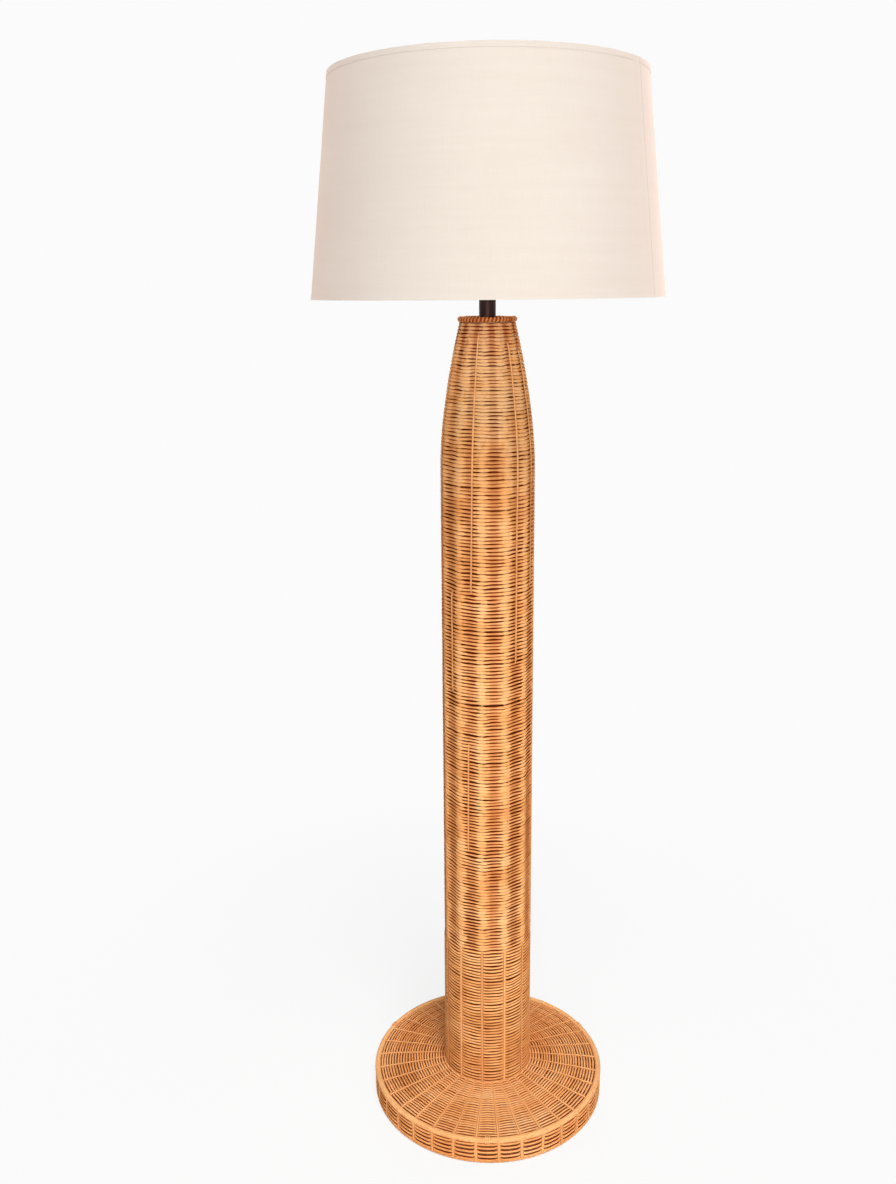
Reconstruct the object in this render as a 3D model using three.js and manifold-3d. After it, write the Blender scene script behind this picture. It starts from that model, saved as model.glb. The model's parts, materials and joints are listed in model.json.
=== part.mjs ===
// A rattan floor lamp: a woven base and column on a weighted pedestal, a short bronzed stem,
// and a tapered linen drum shade held by a harp. Millimetres, +Z up, the origin on the floor
// under the middle of the base. -Y is the front.

import * as THREE from "three";
import Module from "manifold-3d";
import { mergeVertices } from "three/addons/utils/BufferGeometryUtils.js";

// Overall sizes
const lampHeight = 1627;
const shadeHeight = 297;
const shadeTopRadius = 221;
const shadeBottomRadius = 254;
const stemShown = 26;
const baseRadius = 195.5;
const baseHeight = 46;

// Clearances
const seatGap = 0.3;
const slideGap = 0.6;
const cutOverrun = 1;

// Woven column, on a moulded core
const columnFootRadius = 72.5;
const shoulderRadius = 71.3;
const neckRadius = 41.5;
const shoulderDrop = 219;
const shoulderPower = 1.7;
const columnStrand = 2.3;
const columnStakes = 24;
const columnTurn = THREE.MathUtils.degToRad(-22);
const columnStakeThickness = 2.8;
const columnStakeWidth = 7.2;
const columnHoopRadius = 1.6;
const coreClearance = 0.8;
const coreThickness = 2;
const neckBorderHeight = 9;
const neckBorderThickness = 8;
const neckBorderLobe = 0.7;

// Woven base
const baseStakes = 66;
const baseTurn = -Math.PI / 2;
const topRise = 9.6;
const topEdgeDrop = 0.6;
const topStrand = 1.8;
const spokeThickness = 1.8;
const spokeWidth = 3.8;
const edgeHoopRadius = 1.2;
const rimRadius = 4.5;
const weaverThickness = 2.4;
const weaverHeight = 4.4;
const weaverPitch = 5.6;
const weaverTurns = 5;
const wallStakeThickness = 3.2;
const wallStakeWidth = 6;
const lowerHoopRadius = 1.6;
const floorRelief = 0.8;

// Pedestal inside the base
const feltThickness = 3;
const feltInset = 4;
const boardThickness = 15;
const boardPocketDepth = 9;
const boardPocketRadius = 15;
const weightRadius = 120;
const weightThickness = 12;
const weightChamfer = 3;

// Threaded pipe, its nuts and washers
const pipeRadius = 5;
const pipeBore = 3.6;
const nutRadius = 9.2;
const nutHeight = 5;
const washerRadius = 12;
const washerThickness = 1.5;
const pipeTail = 0.6;

// Stem and what it stands on
const stemRadius = 11.8;
const stemWall = 1.4;
const neckCapThickness = 6;
const neckCapDrop = 4;
const collarRadius = 13.5;
const collarThickness = 3;

// Channel for the lead under the board, and the bushing in its mouth
const channelHalfWidth = 4;
const bushingBore = 2.1;
const bushingLength = 12;

// Harp, its saddle and sleeves
const harpHeight = 229;
const harpHalfWidth = 54;
const harpFoot = 27;
const harpWireRadius = 2.1;
const harpStraight = 30;
const harpBellyShare = 0.46;
const harpSeatRadius = 8;
const harpSeatThickness = 2;
const studRadius = 3.1;
const studHeight = 16;
const saddleThickness = 2;
const saddleWidth = 12;
const earHeight = 9;
const earWidth = 3;
const sleeveRadius = 3.9;
const sleeveLength = 14;

// Lamp holder
const holderRadius = 17.3;
const holderWall = 0.8;
const holderCapHeight = 14;
const holderCapChamfer = 4;
const holderShellHeight = 53;
const holderPipeGrip = 5;
const holderCoreHeight = 22;
const linerWall = 0.5;
const threadSleeveWall = 0.6;
const threadSleeveHeight = 25;

// Switch knob
const knobShaftRadius = 2.3;
const knobRadius = 7;
const knobLength = 11;
const knobStandoff = 3;
const knobDepth = 9;
const knobRise = 17;
const knobFlute = 0.5;
const knobFlutes = 16;

// Bulb
const bulbRadius = 30;
const bulbLength = 84;
const bulbNeckRadius = 12.4;
const bulbNeckLength = 10;
const bulbWall = 1.2;
const bulbCapHeight = 24;
const bulbCapTip = 4;

// Shade
const shadeWall = 1.2;
const shadeEdge = 0.6;
const hemHeight = 7;
const hemThickness = 0.5;
const ringWireRadius = 2;
const fitterDrop = 20;
const fitterArms = 3;
const fitterArmRadius = 1.4;
const fitterBend = 24;
const eyeRadius = 10;
const eyeThickness = 3;
const discRadius = 12.5;
const discThickness = 1.6;

// Finial
const finialRadius = 8;
const finialHeight = 14.4;
const finialBoreDepth = 11.3;

// How finely the round pieces are faceted
const shadeSides = 36;
const rimSides = 44;
const discSides = 30;
const smallSides = 16;
const boreSides = 12;
const rimFacets = 6;
const wireSides = 5;
const frameSides = 4;
const hexSides = 6;

// Places that follow from the sizes above
const shadeBottomZ = lampHeight - shadeHeight;
const neckTopZ = shadeBottomZ - stemShown;
const neckBorderZ = neckTopZ - neckBorderHeight;
const shoulderZ = neckTopZ - shoulderDrop;
const boardZ = feltThickness + seatGap;
const boardTopZ = boardZ + boardThickness;
const weightZ = boardTopZ + seatGap;
const weightTopZ = weightZ + weightThickness;
const columnZ = weightTopZ + seatGap;
const columnTopZ = neckBorderZ - seatGap;
const columnWeaveZ = columnZ + 2 * columnHoopRadius + seatGap;
const columnSwing = columnStakeThickness + columnStrand;
const coreInset = columnSwing + columnStrand + coreClearance;
const topSwing = spokeThickness + topStrand;
const rimCentreZ = baseHeight - rimRadius;
const rimCentreRadius = baseRadius - rimRadius;
const stakeAmplitude = wallStakeThickness / 2 + seatGap + weaverThickness / 2;
const stakeCircle = baseRadius - stakeAmplitude - weaverThickness / 2;
const hoopCentreZ = floorRelief + lowerHoopRadius;
const weaverZ = hoopCentreZ + lowerHoopRadius + seatGap + weaverHeight / 2;
const channelLift = channelHalfWidth;
const bushingRadius = channelHalfWidth - seatGap;
const boardRadius = stakeCircle - stakeAmplitude - weaverThickness / 2 - slideGap;
const harpTopZ = lampHeight - fitterDrop;
const saddleTopZ = harpTopZ - harpHeight;
const saddleZ = saddleTopZ - saddleThickness;
const collarZ = saddleZ - seatGap - collarThickness;
const neckCapTopZ = neckTopZ - neckCapDrop;
const neckCapZ = neckCapTopZ - neckCapThickness;
const holderZ = saddleTopZ + seatGap;
const holderShellZ = holderZ + holderCapChamfer + seatGap;
const holderShellRadius = holderRadius - holderWall - seatGap;
const linerRadius = holderShellRadius - holderWall - seatGap;
const coreRadius = linerRadius - linerWall - seatGap;
const coreZ = holderZ + holderPipeGrip + slideGap;
const coreTopZ = coreZ + holderCoreHeight;
const threadSleeveZ = coreTopZ + seatGap;
const bulbCapZ = threadSleeveZ;
const bulbCapRadius = coreRadius - threadSleeveWall - slideGap;
const bulbZ = bulbCapZ + bulbCapHeight + seatGap;
const knobZ = holderZ + knobRise;
const pipeZ = feltThickness + pipeTail;
const pipeTopZ = holderZ + holderPipeGrip;
const eyeZ = harpTopZ + seatGap;
const discZ = eyeZ + eyeThickness + seatGap;
const finialZ = discZ + discThickness + seatGap;

// Finishes
const finish = (color, roughness, metalness = 0) => ({ color, roughness, metalness });
const rattan = finish(0xe0a164, 0.62);
const rattanDark = finish(0xc98549, 0.68);
const cane = finish(0xe6ad72, 0.5);
const bronze = finish(0x32201b, 0.38, 0.7);
const steel = finish(0x9a9a98, 0.42, 0.9);
const blackIron = finish(0x2a2a2b, 0.7, 0.4);
const pulp = finish(0x241d19, 0.9);
const brass = finish(0xb99148, 0.32, 0.95);
const nickel = finish(0xb9b6ae, 0.3, 0.95);
const linen = finish(0xf2e6da, 0.88);
const whiteWire = finish(0xe8e4dc, 0.55);
const plywood = finish(0xc7a67a, 0.75);
const felt = finish(0x2f2d2b, 0.95);
const phenolic = finish(0x1c1b1a, 0.5);
const fibre = finish(0x6b5a45, 0.85);
const opal = finish(0xf6f4ee, 0.35);

const lamp = new THREE.Group();
lamp.name = "rattan_floor_lamp";

const wasm = await Module();
wasm.setup();

// A named piece of the lamp
function add(name, geometry, look) {
  const mesh = new THREE.Mesh(geometry, new THREE.MeshStandardMaterial(look));
  mesh.name = name;
  lamp.add(mesh);
  return mesh;
}

function toSolid(geometry) {
  const bare = geometry.clone();
  bare.deleteAttribute("normal");
  bare.deleteAttribute("uv");
  const merged = mergeVertices(bare, 1e-4);
  return new wasm.Manifold(
    new wasm.Mesh({
      numProp: 3,
      vertProperties: merged.getAttribute("position").array,
      triVerts: new Uint32Array(merged.index.array),
    }),
  );
}

function toGeometry(solid) {
  const mesh = solid.getMesh();
  const geometry = new THREE.BufferGeometry();
  geometry.setAttribute("position", new THREE.Float32BufferAttribute(mesh.vertProperties, 3));
  geometry.setIndex(new THREE.Uint32BufferAttribute(mesh.triVerts, 1));
  geometry.computeVertexNormals();
  return geometry;
}

function join(parts) {
  return toGeometry(parts.map(toSolid).reduce((whole, part) => whole.add(part)));
}

function cut(body, tools) {
  return toGeometry(tools.map(toSolid).reduce((whole, tool) => whole.subtract(tool), toSolid(body)));
}

// A closed outline of [radius, height] points turned about the lamp's axis. It runs
// anticlockwise, seen with the axis on the left; one that starts on the axis also ends there.
function revolve(outline, sides = smallSides) {
  const points = outline.map(([radius, height]) => new THREE.Vector2(radius, height));
  if (outline[0][0] > 0) points.push(points[0].clone());
  const geometry = new THREE.LatheGeometry(points, sides);
  geometry.rotateX(Math.PI / 2);
  return geometry;
}

function plug(radius, bottom, top, sides = smallSides) {
  return revolve([[0, bottom], [radius, bottom], [radius, top], [0, top]], sides);
}

function tube(outer, inner, bottom, top, sides = smallSides) {
  return revolve([[inner, bottom], [outer, bottom], [outer, top], [inner, top]], sides);
}

// A hoop of round wire about the lamp's axis
function hoop(radius, height, wire, sides = discSides, facets = wireSides) {
  const outline = [];
  for (let i = 0; i < facets; i++) {
    const a = (2 * Math.PI * (i + 1 / 2)) / facets;
    outline.push([radius + wire * Math.cos(a), height + wire * Math.sin(a)]);
  }
  return revolve(outline, sides);
}

// A straight round rod between two points
function rod(from, to, radius, sides = wireSides) {
  const along = new THREE.Vector3().subVectors(to, from);
  const geometry = new THREE.CylinderGeometry(radius, radius, along.length(), sides);
  const turn = new THREE.Quaternion().setFromUnitVectors(
    new THREE.Vector3(0, 1, 0),
    along.clone().normalize(),
  );
  geometry.applyQuaternion(turn);
  geometry.translate(...from.clone().addScaledVector(along, 1 / 2).toArray());
  return geometry;
}

function polar(radius, angle, height) {
  return new THREE.Vector3(radius * Math.cos(angle), radius * Math.sin(angle), height);
}

// A closed band about the axis: rows of points that go once round its section, each row a ring
function band(rows, sides, pointAt) {
  const positions = [];
  const index = [];
  for (let row = 0; row < rows; row++)
    for (let side = 0; side < sides; side++) positions.push(...pointAt(row, side).toArray());
  const at = (row, side) => (row % rows) * sides + (side % sides);
  for (let row = 0; row < rows; row++)
    for (let side = 0; side < sides; side++) {
      index.push(at(row, side), at(row, side + 1), at(row + 1, side + 1));
      index.push(at(row, side), at(row + 1, side + 1), at(row + 1, side));
    }
  const geometry = new THREE.BufferGeometry();
  geometry.setAttribute("position", new THREE.Float32BufferAttribute(positions, 3));
  geometry.setIndex(index);
  geometry.computeVertexNormals();
  return geometry;
}

// The strands pass over the even stakes and hide them, and behind the odd ones, which show
const isShown = (stake) => stake % 2 === 1;

// The column's outer radius, straight to the shoulder and then drawn in to the neck
function columnRadius(z) {
  const low = (z - columnZ) / (shoulderZ - columnZ);
  if (low <= 1) return columnFootRadius + (shoulderRadius - columnFootRadius) * low;
  const high = Math.min(1, (z - shoulderZ) / (columnTopZ - shoulderZ));
  return shoulderRadius - (shoulderRadius - neckRadius) * high ** shoulderPower;
}

// The top of the woven base falls in a shallow cone from the column to the rim
const topInner = columnRadius(baseHeight) + seatGap;
const edgeHoopCircle = rimCentreRadius - rimRadius - slideGap - edgeHoopRadius;
const edgeHoopFlat = edgeHoopCircle * Math.cos((2 * Math.PI) / baseStakes);
const topOuter = edgeHoopFlat - edgeHoopRadius - seatGap;
function topHeight(radius) {
  return baseHeight - topEdgeDrop + topRise * (1 - (radius - topInner) / (topOuter - topInner));
}

// Pedestal
function addPedestal() {
  add("felt_pad", plug(boardRadius - feltInset, 0, feltThickness, discSides), felt);
  const pipeHole = pipeRadius + seatGap;
  const board = revolve([
    [boardPocketRadius, boardZ], [boardRadius, boardZ], [boardRadius, boardTopZ],
    [pipeHole, boardTopZ], [pipeHole, boardZ + boardPocketDepth],
    [boardPocketRadius, boardZ + boardPocketDepth]], discSides);
  const channel = new THREE.BoxGeometry(2 * channelHalfWidth, boardRadius, 2 * channelHalfWidth);
  channel.translate(0, (boardPocketRadius + boardRadius) / 2 + cutOverrun, boardZ + channelLift);
  add("base_board", cut(board, [channel]), plywood);
  add("base_weight", revolve([
    [pipeHole, weightZ], [weightRadius, weightZ], [weightRadius, weightTopZ - weightChamfer],
    [weightRadius - weightChamfer, weightTopZ], [pipeHole, weightTopZ]], discSides), blackIron);
  const pocketRoof = boardZ + boardPocketDepth;
  const washerZ = pocketRoof - seatGap - washerThickness;
  add("lower_washer", tube(washerRadius, pipeHole, washerZ, washerZ + washerThickness), steel);
  add("lower_nut", nut(washerZ - seatGap - nutHeight), steel);
  add("upper_washer", tube(washerRadius, pipeHole, columnZ, columnZ + washerThickness), steel);
  add("upper_nut", nut(columnZ + washerThickness + seatGap), steel);
  add("centre_pipe", tube(pipeRadius, pipeBore, pipeZ, pipeTopZ), steel);
}

// Bushing for the lead, in the mouth of the channel under the board, at the back
function addBushing() {
  const bushing = tube(bushingRadius, bushingBore, 0, bushingLength);
  bushing.rotateX(-Math.PI / 2);
  const front = boardRadius * Math.cos(Math.PI / discSides) - bushingLength;
  add("cord_bushing", bushing, phenolic).position.set(0, front, boardZ + channelLift);
}

function nut(bottom) {
  const top = bottom + nutHeight;
  const hole = plug(pipeRadius + seatGap, bottom - cutOverrun, top + cutOverrun);
  return cut(plug(nutRadius, bottom, top, hexSides), [hole]);
}

// Woven base: one long weaver climbs round the wall, over one stake and behind the next. The
// stakes are even in number, so it passes each of them the same way in every round.
function addBase() {
  const stakeAngle = (stake) => baseTurn + (2 * Math.PI * stake) / baseStakes;
  add("wall_weaver", strand(weaverTurns * baseStakes + 1, (stake) => ({
    angle: stakeAngle(stake),
    radius: stakeCircle + stakeAmplitude * (isShown(stake) ? -1 : 1),
    height: weaverZ + (weaverPitch * stake) / baseStakes,
  }), weaverThickness / 2, weaverHeight / 2), rattan);

  const stakeTopZ = rimCentreZ - rimRadius - seatGap;
  const stakes = [hoop(stakeCircle, hoopCentreZ, lowerHoopRadius, baseStakes / 2, frameSides)];
  for (let i = 0; i < baseStakes; i++) {
    const ends = [hoopCentreZ, stakeTopZ].map((z) => polar(stakeCircle, stakeAngle(i), z));
    const width = isShown(i) ? wallStakeWidth : wallStakeThickness;
    stakes.push(wireAlong(ends, wallStakeThickness / 2, frameSides, width / 2));
  }
  add("wall_stakes", join(stakes), rattanDark);
  add("rim_pole", hoop(rimCentreRadius, rimCentreZ, rimRadius, rimSides, rimFacets), cane);

  const topRings = [
    [topOuter, -topSwing - topStrand, 0], [topOuter, 0, topSwing],
    [topInner, 0, topSwing], [topInner, -topSwing - topStrand, 0]];
  add("base_top_weave", band(topRings.length, baseStakes, (row, side) => {
    const [radius, lift, dip] = topRings[row];
    return polar(radius, stakeAngle(side), topHeight(radius) + lift - (isShown(side) ? dip : 0));
  }), rattan);

  const spokeHeight = (r) => topHeight(r) - topSwing + seatGap + spokeThickness / 2;
  const spokes = [
    hoop(edgeHoopCircle, spokeHeight(edgeHoopCircle), edgeHoopRadius, baseStakes / 2, frameSides)];
  for (let i = 0; i < baseStakes; i++) {
    if (!isShown(i)) continue;
    const ends = [topInner, edgeHoopCircle].map((r) => polar(r, stakeAngle(i), spokeHeight(r)));
    spokes.push(wireAlong(ends, spokeThickness / 2, frameSides, spokeWidth / 2));
  }
  add("base_top_spokes", join(spokes), rattanDark);
}

// A flat strand that goes round the axis: its section is a lozenge set on the radius
function strand(count, placeAt, halfThick, halfTall) {
  const positions = [];
  const index = [];
  for (let i = 0; i < count; i++) {
    const { angle, radius, height } = placeAt(i);
    positions.push(...polar(radius + halfThick, angle, height).toArray());
    positions.push(...polar(radius, angle, height + halfTall).toArray());
    positions.push(...polar(radius - halfThick, angle, height).toArray());
    positions.push(...polar(radius, angle, height - halfTall).toArray());
  }
  for (let i = 0; i + 1 < count; i++)
    for (let k = 0; k < 4; k++) {
      const a = 4 * i + k;
      const b = 4 * i + ((k + 1) % 4);
      index.push(a, a + 4, b + 4, a, b + 4, b);
    }
  const last = 4 * (count - 1);
  index.push(0, 1, 2, 0, 2, 3);
  index.push(last, last + 2, last + 1, last, last + 3, last + 2);
  const geometry = new THREE.BufferGeometry();
  geometry.setAttribute("position", new THREE.Float32BufferAttribute(positions, 3));
  geometry.setIndex(index);
  geometry.computeVertexNormals();
  return geometry;
}

// Heights at which the column's pieces bend, from the foot to the top
function bendHeights(lowest, highest) {
  const steps = 6;
  const heights = [lowest];
  for (let k = 0; k <= steps; k++)
    heights.push(shoulderZ + ((columnTopZ - shoulderZ) * k) / steps);
  return heights.map((z) => Math.min(z, highest));
}

// A shell that follows the column, each side a stake's place. The insets are depths from the
// column's outer radius, the outer one asked for each side.
function columnShell(lowest, highest, outerInset, innerInset) {
  const heights = bendHeights(lowest, highest);
  const rings = heights.length;
  return band(2 * rings, columnStakes, (row, side) => {
    const z = row < rings ? heights[row] : heights[2 * rings - 1 - row];
    const inset = row < rings ? outerInset(side) : innerInset;
    return polar(columnRadius(z) - inset, columnStakeAngle(side), z);
  });
}

const columnStakeAngle = (stake) => columnTurn + (2 * Math.PI * stake) / columnStakes;

// Woven column: a skin with a ridge over each hidden stake and a valley behind each stake that
// shows, the shown stakes on their foot hoop, the core inside and the border round the neck
function addColumn() {
  add("column_weave", columnShell(columnWeaveZ, columnTopZ,
    (stake) => (isShown(stake) ? columnSwing : 0), columnSwing + columnStrand), rattan);
  add("column_core", columnShell(columnZ, neckCapZ - seatGap, () => coreInset,
    coreInset + coreThickness), pulp);

  const stakeInset = columnSwing - seatGap - columnStakeThickness / 2;
  const hoopZ = columnZ + columnHoopRadius;
  const stakes = [
    hoop(columnRadius(hoopZ) - stakeInset, hoopZ, columnHoopRadius, columnStakes, frameSides)];
  for (let i = 0; i < columnStakes; i++) {
    if (!isShown(i)) continue;
    const points = bendHeights(hoopZ, columnTopZ)
      .map((z) => polar(columnRadius(z) - stakeInset, columnStakeAngle(i), z));
    stakes.push(wireAlong(points, columnStakeThickness / 2, frameSides, columnStakeWidth / 2));
  }
  add("column_stakes", join(stakes), rattanDark);

  const lobes = 2 * columnStakes;
  add("neck_border", band(rimFacets, lobes, (row, side) => {
    const a = (2 * Math.PI * row) / rimFacets;
    const swell = (side + row) % 2 ? 0 : neckBorderLobe;
    const radius = neckRadius - neckBorderThickness / 2
      + (neckBorderThickness / 2 + swell) * Math.cos(a);
    const height = neckBorderZ + (neckBorderHeight / 2) * (1 + Math.sin(a));
    return polar(radius, columnTurn + (2 * Math.PI * side) / lobes, height);
  }), rattan);
}

// A bent wire or split cane in a plane through the axis, with a ring of its section at each
// given point: halfThick in that plane and halfWide across it
function wireAlong(points, halfThick, sides = frameSides, halfWide = halfThick) {
  const positions = [];
  const index = [];
  const along = new THREE.Vector3();
  const outward = new THREE.Vector3();
  const across = new THREE.Vector3().crossVectors(new THREE.Vector3(0, 0, 1), points[0]).normalize();
  points.forEach((point, i) => {
    along.subVectors(points[Math.min(i + 1, points.length - 1)], points[Math.max(i - 1, 0)]);
    outward.crossVectors(across, along).normalize();
    for (let k = 0; k < sides; k++) {
      const a = (2 * Math.PI * k) / sides;
      positions.push(...point.clone().addScaledVector(outward, halfThick * Math.cos(a))
        .addScaledVector(across, halfWide * Math.sin(a)).toArray());
    }
  });
  for (let i = 0; i + 1 < points.length; i++)
    for (let k = 0; k < sides; k++) {
      const a = sides * i + k;
      const b = sides * i + ((k + 1) % sides);
      index.push(a, b, b + sides, a, b + sides, a + sides);
    }
  const last = sides * (points.length - 1);
  for (let k = 1; k + 1 < sides; k++) index.push(0, k + 1, k, last, last + k, last + k + 1);
  const geometry = new THREE.BufferGeometry();
  geometry.setAttribute("position", new THREE.Float32BufferAttribute(positions, 3));
  geometry.setIndex(index);
  return geometry;
}

function extrudeRound(path, radius, steps, sides = wireSides) {
  const section = new THREE.Shape();
  for (let i = 0; i < sides; i++) {
    const a = (2 * Math.PI * i) / sides;
    const place = [radius * Math.cos(a), radius * Math.sin(a)];
    if (i) section.lineTo(...place);
    else section.moveTo(...place);
  }
  section.closePath();
  return new THREE.ExtrudeGeometry(section, { steps, bevelEnabled: false, extrudePath: path });
}

// Stem, and the disc in the neck that it stands on
function addStem() {
  const pipeHole = pipeRadius + seatGap;
  const capRadius = neckRadius - neckBorderThickness - neckBorderLobe - seatGap;
  add("neck_cap", tube(capRadius, pipeHole, neckCapZ, neckCapTopZ), plywood);
  add("stem_tube", tube(stemRadius, stemRadius - stemWall, neckCapTopZ + seatGap,
    collarZ - seatGap), bronze);
  add("stem_collar", tube(collarRadius, pipeHole, collarZ, collarZ + collarThickness), bronze);
}

// Harp with its seat and stud, the saddle that carries it, and the sleeves that lock its feet
function addHarp() {
  const at = (x, z) => new THREE.Vector3(x, 0, z);
  const footZ = saddleTopZ + earHeight + seatGap;
  const straightZ = saddleTopZ + harpStraight;
  const topZ = harpTopZ - harpSeatThickness - harpWireRadius / 2;
  const middleZ = saddleTopZ + harpHeight * harpBellyShare;
  const path = new THREE.CurvePath();
  const half = (side) => [
    [at(side * harpFoot, footZ), at(side * harpFoot, straightZ)],
    [at(side * harpFoot, straightZ), at(side * harpFoot, (straightZ + middleZ) / 2),
      at(side * harpHalfWidth, (straightZ + middleZ) / 2), at(side * harpHalfWidth, middleZ)],
    [at(side * harpHalfWidth, middleZ), at(side * harpHalfWidth, (middleZ + topZ) / 2),
      at((side * harpHalfWidth) / 2, topZ), at(0, topZ)],
  ];
  const curve = (p) => (p.length === 2 ? new THREE.LineCurve3(...p) : new THREE.CubicBezierCurve3(...p));
  half(-1).forEach((p) => path.add(curve(p)));
  half(1).reverse().forEach((p) => path.add(curve([...p].reverse())));
  const harpSteps = 36;
  const seatZ = harpTopZ - harpSeatThickness;
  add("harp", join([
    extrudeRound(path, harpWireRadius, harpSteps, rimFacets),
    tube(harpSeatRadius, studRadius / 2, seatZ, harpTopZ),
    plug(studRadius, seatZ, harpTopZ + studHeight, boreSides),
  ]), brass);

  const strap = new THREE.BoxGeometry(2 * harpFoot + earWidth, saddleWidth, saddleThickness);
  strap.translate(0, 0, saddleZ + saddleThickness / 2);
  const ears = [-1, 1].map((side) => {
    const ear = new THREE.BoxGeometry(earWidth, earWidth, earHeight + saddleThickness);
    ear.translate(side * harpFoot, 0, saddleZ + (earHeight + saddleThickness) / 2);
    return ear;
  });
  const hole = plug(pipeRadius + seatGap, saddleZ - cutOverrun, saddleTopZ + cutOverrun);
  add("harp_saddle", cut(join([strap, ...ears]), [hole]), brass);

  for (const [name, side] of [["harp_sleeve_left", -1], ["harp_sleeve_right", 1]]) {
    const bore = Math.max(harpWireRadius, earWidth * Math.SQRT1_2) + slideGap;
    const sleeve = tube(sleeveRadius, bore, 0, sleeveLength, boreSides);
    add(name, sleeve, brass).position.set(side * harpFoot, 0, saddleTopZ + seatGap);
  }
}

// Lamp holder: cap, shell, fibre liner, moulded core, thread sleeve, and the knob of its switch
function addHolder() {
  const capInner = holderRadius - holderWall;
  const floor = holderZ + holderWall;
  const pipeHole = pipeRadius + seatGap;
  add("holder_cap", revolve([
    [pipeHole, holderZ], [holderRadius - holderCapChamfer, holderZ],
    [holderRadius, holderZ + holderCapChamfer], [holderRadius, holderZ + holderCapHeight],
    [capInner, holderZ + holderCapHeight], [capInner, holderZ + holderCapChamfer],
    [holderRadius - holderCapChamfer, floor], [pipeHole, floor]]), brass);
  const shaftHole = (clearance) => rod(new THREE.Vector3(0, 0, knobZ),
    new THREE.Vector3(0, -holderRadius - cutOverrun, knobZ), knobShaftRadius + clearance, boreSides);
  const shellTopZ = holderShellZ + holderShellHeight;
  add("holder_shell", cut(tube(holderShellRadius, holderShellRadius - holderWall, holderShellZ,
    shellTopZ), [shaftHole(slideGap)]), brass);
  add("holder_liner", cut(tube(linerRadius, linerRadius - linerWall, holderShellZ,
    shellTopZ - holderWall), [shaftHole(slideGap)]), fibre);
  const core = plug(coreRadius, coreZ, coreTopZ);
  const bore = rod(new THREE.Vector3(0, -coreRadius + knobDepth + slideGap, knobZ),
    new THREE.Vector3(0, -holderRadius - cutOverrun, knobZ), knobShaftRadius + seatGap, boreSides);
  add("holder_core", cut(core, [bore]), phenolic);
  add("thread_sleeve", tube(coreRadius, coreRadius - threadSleeveWall, threadSleeveZ,
    threadSleeveZ + threadSleeveHeight), nickel);

  const reach = knobDepth + holderRadius - coreRadius + knobStandoff;
  const outline = (rib) => [
    [knobShaftRadius / 2, 0], [knobShaftRadius, 0], [knobShaftRadius, reach],
    [knobRadius - rib, reach], [knobRadius - rib, reach + knobLength - knobFlute],
    [knobRadius - 2 * knobFlute, reach + knobLength], [knobShaftRadius, reach + knobLength],
    [knobShaftRadius / 2, reach + knobLength - knobFlute]];
  const knob = band(outline(0).length, knobFlutes, (row, side) => {
    const [radius, height] = outline(side % 2 ? knobFlute : 0)[row];
    return polar(radius, (2 * Math.PI * side) / knobFlutes, height);
  });
  knob.rotateX(Math.PI / 2);
  add("switch_knob", knob, phenolic).position.set(0, -coreRadius + knobDepth, knobZ);
}

// Bulb: a blown envelope, open at its neck, on a screw cap
function addBulb() {
  const capTop = bulbCapZ + bulbCapHeight;
  add("bulb_cap", revolve([[0, bulbCapZ], [bulbCapTip, bulbCapZ],
    [bulbCapRadius - bulbCapTip / 2, bulbCapZ + bulbCapTip], [bulbCapRadius, bulbCapZ + bulbCapTip],
    [bulbCapRadius, capTop], [0, capTop]]), nickel);
  const centre = bulbZ + bulbLength - bulbRadius;
  const waist = -Math.PI / 4;
  const steps = 8;
  const globe = (radius) => Array.from({ length: steps }, (_, i) => {
    const a = waist + (Math.PI / 2 - waist) * (i / steps);
    return [radius * Math.cos(a), centre + radius * Math.sin(a)];
  });
  const neck = (radius) => [[radius, bulbZ], [radius, bulbZ + bulbNeckLength]];
  const inside = [...neck(bulbNeckRadius - bulbWall), ...globe(bulbRadius - bulbWall)];
  add("bulb_glass", revolve([
    [0, centre + bulbRadius - bulbWall], ...inside.reverse(),
    ...neck(bulbNeckRadius), ...globe(bulbRadius), [0, centre + bulbRadius]]), opal);
}

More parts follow.
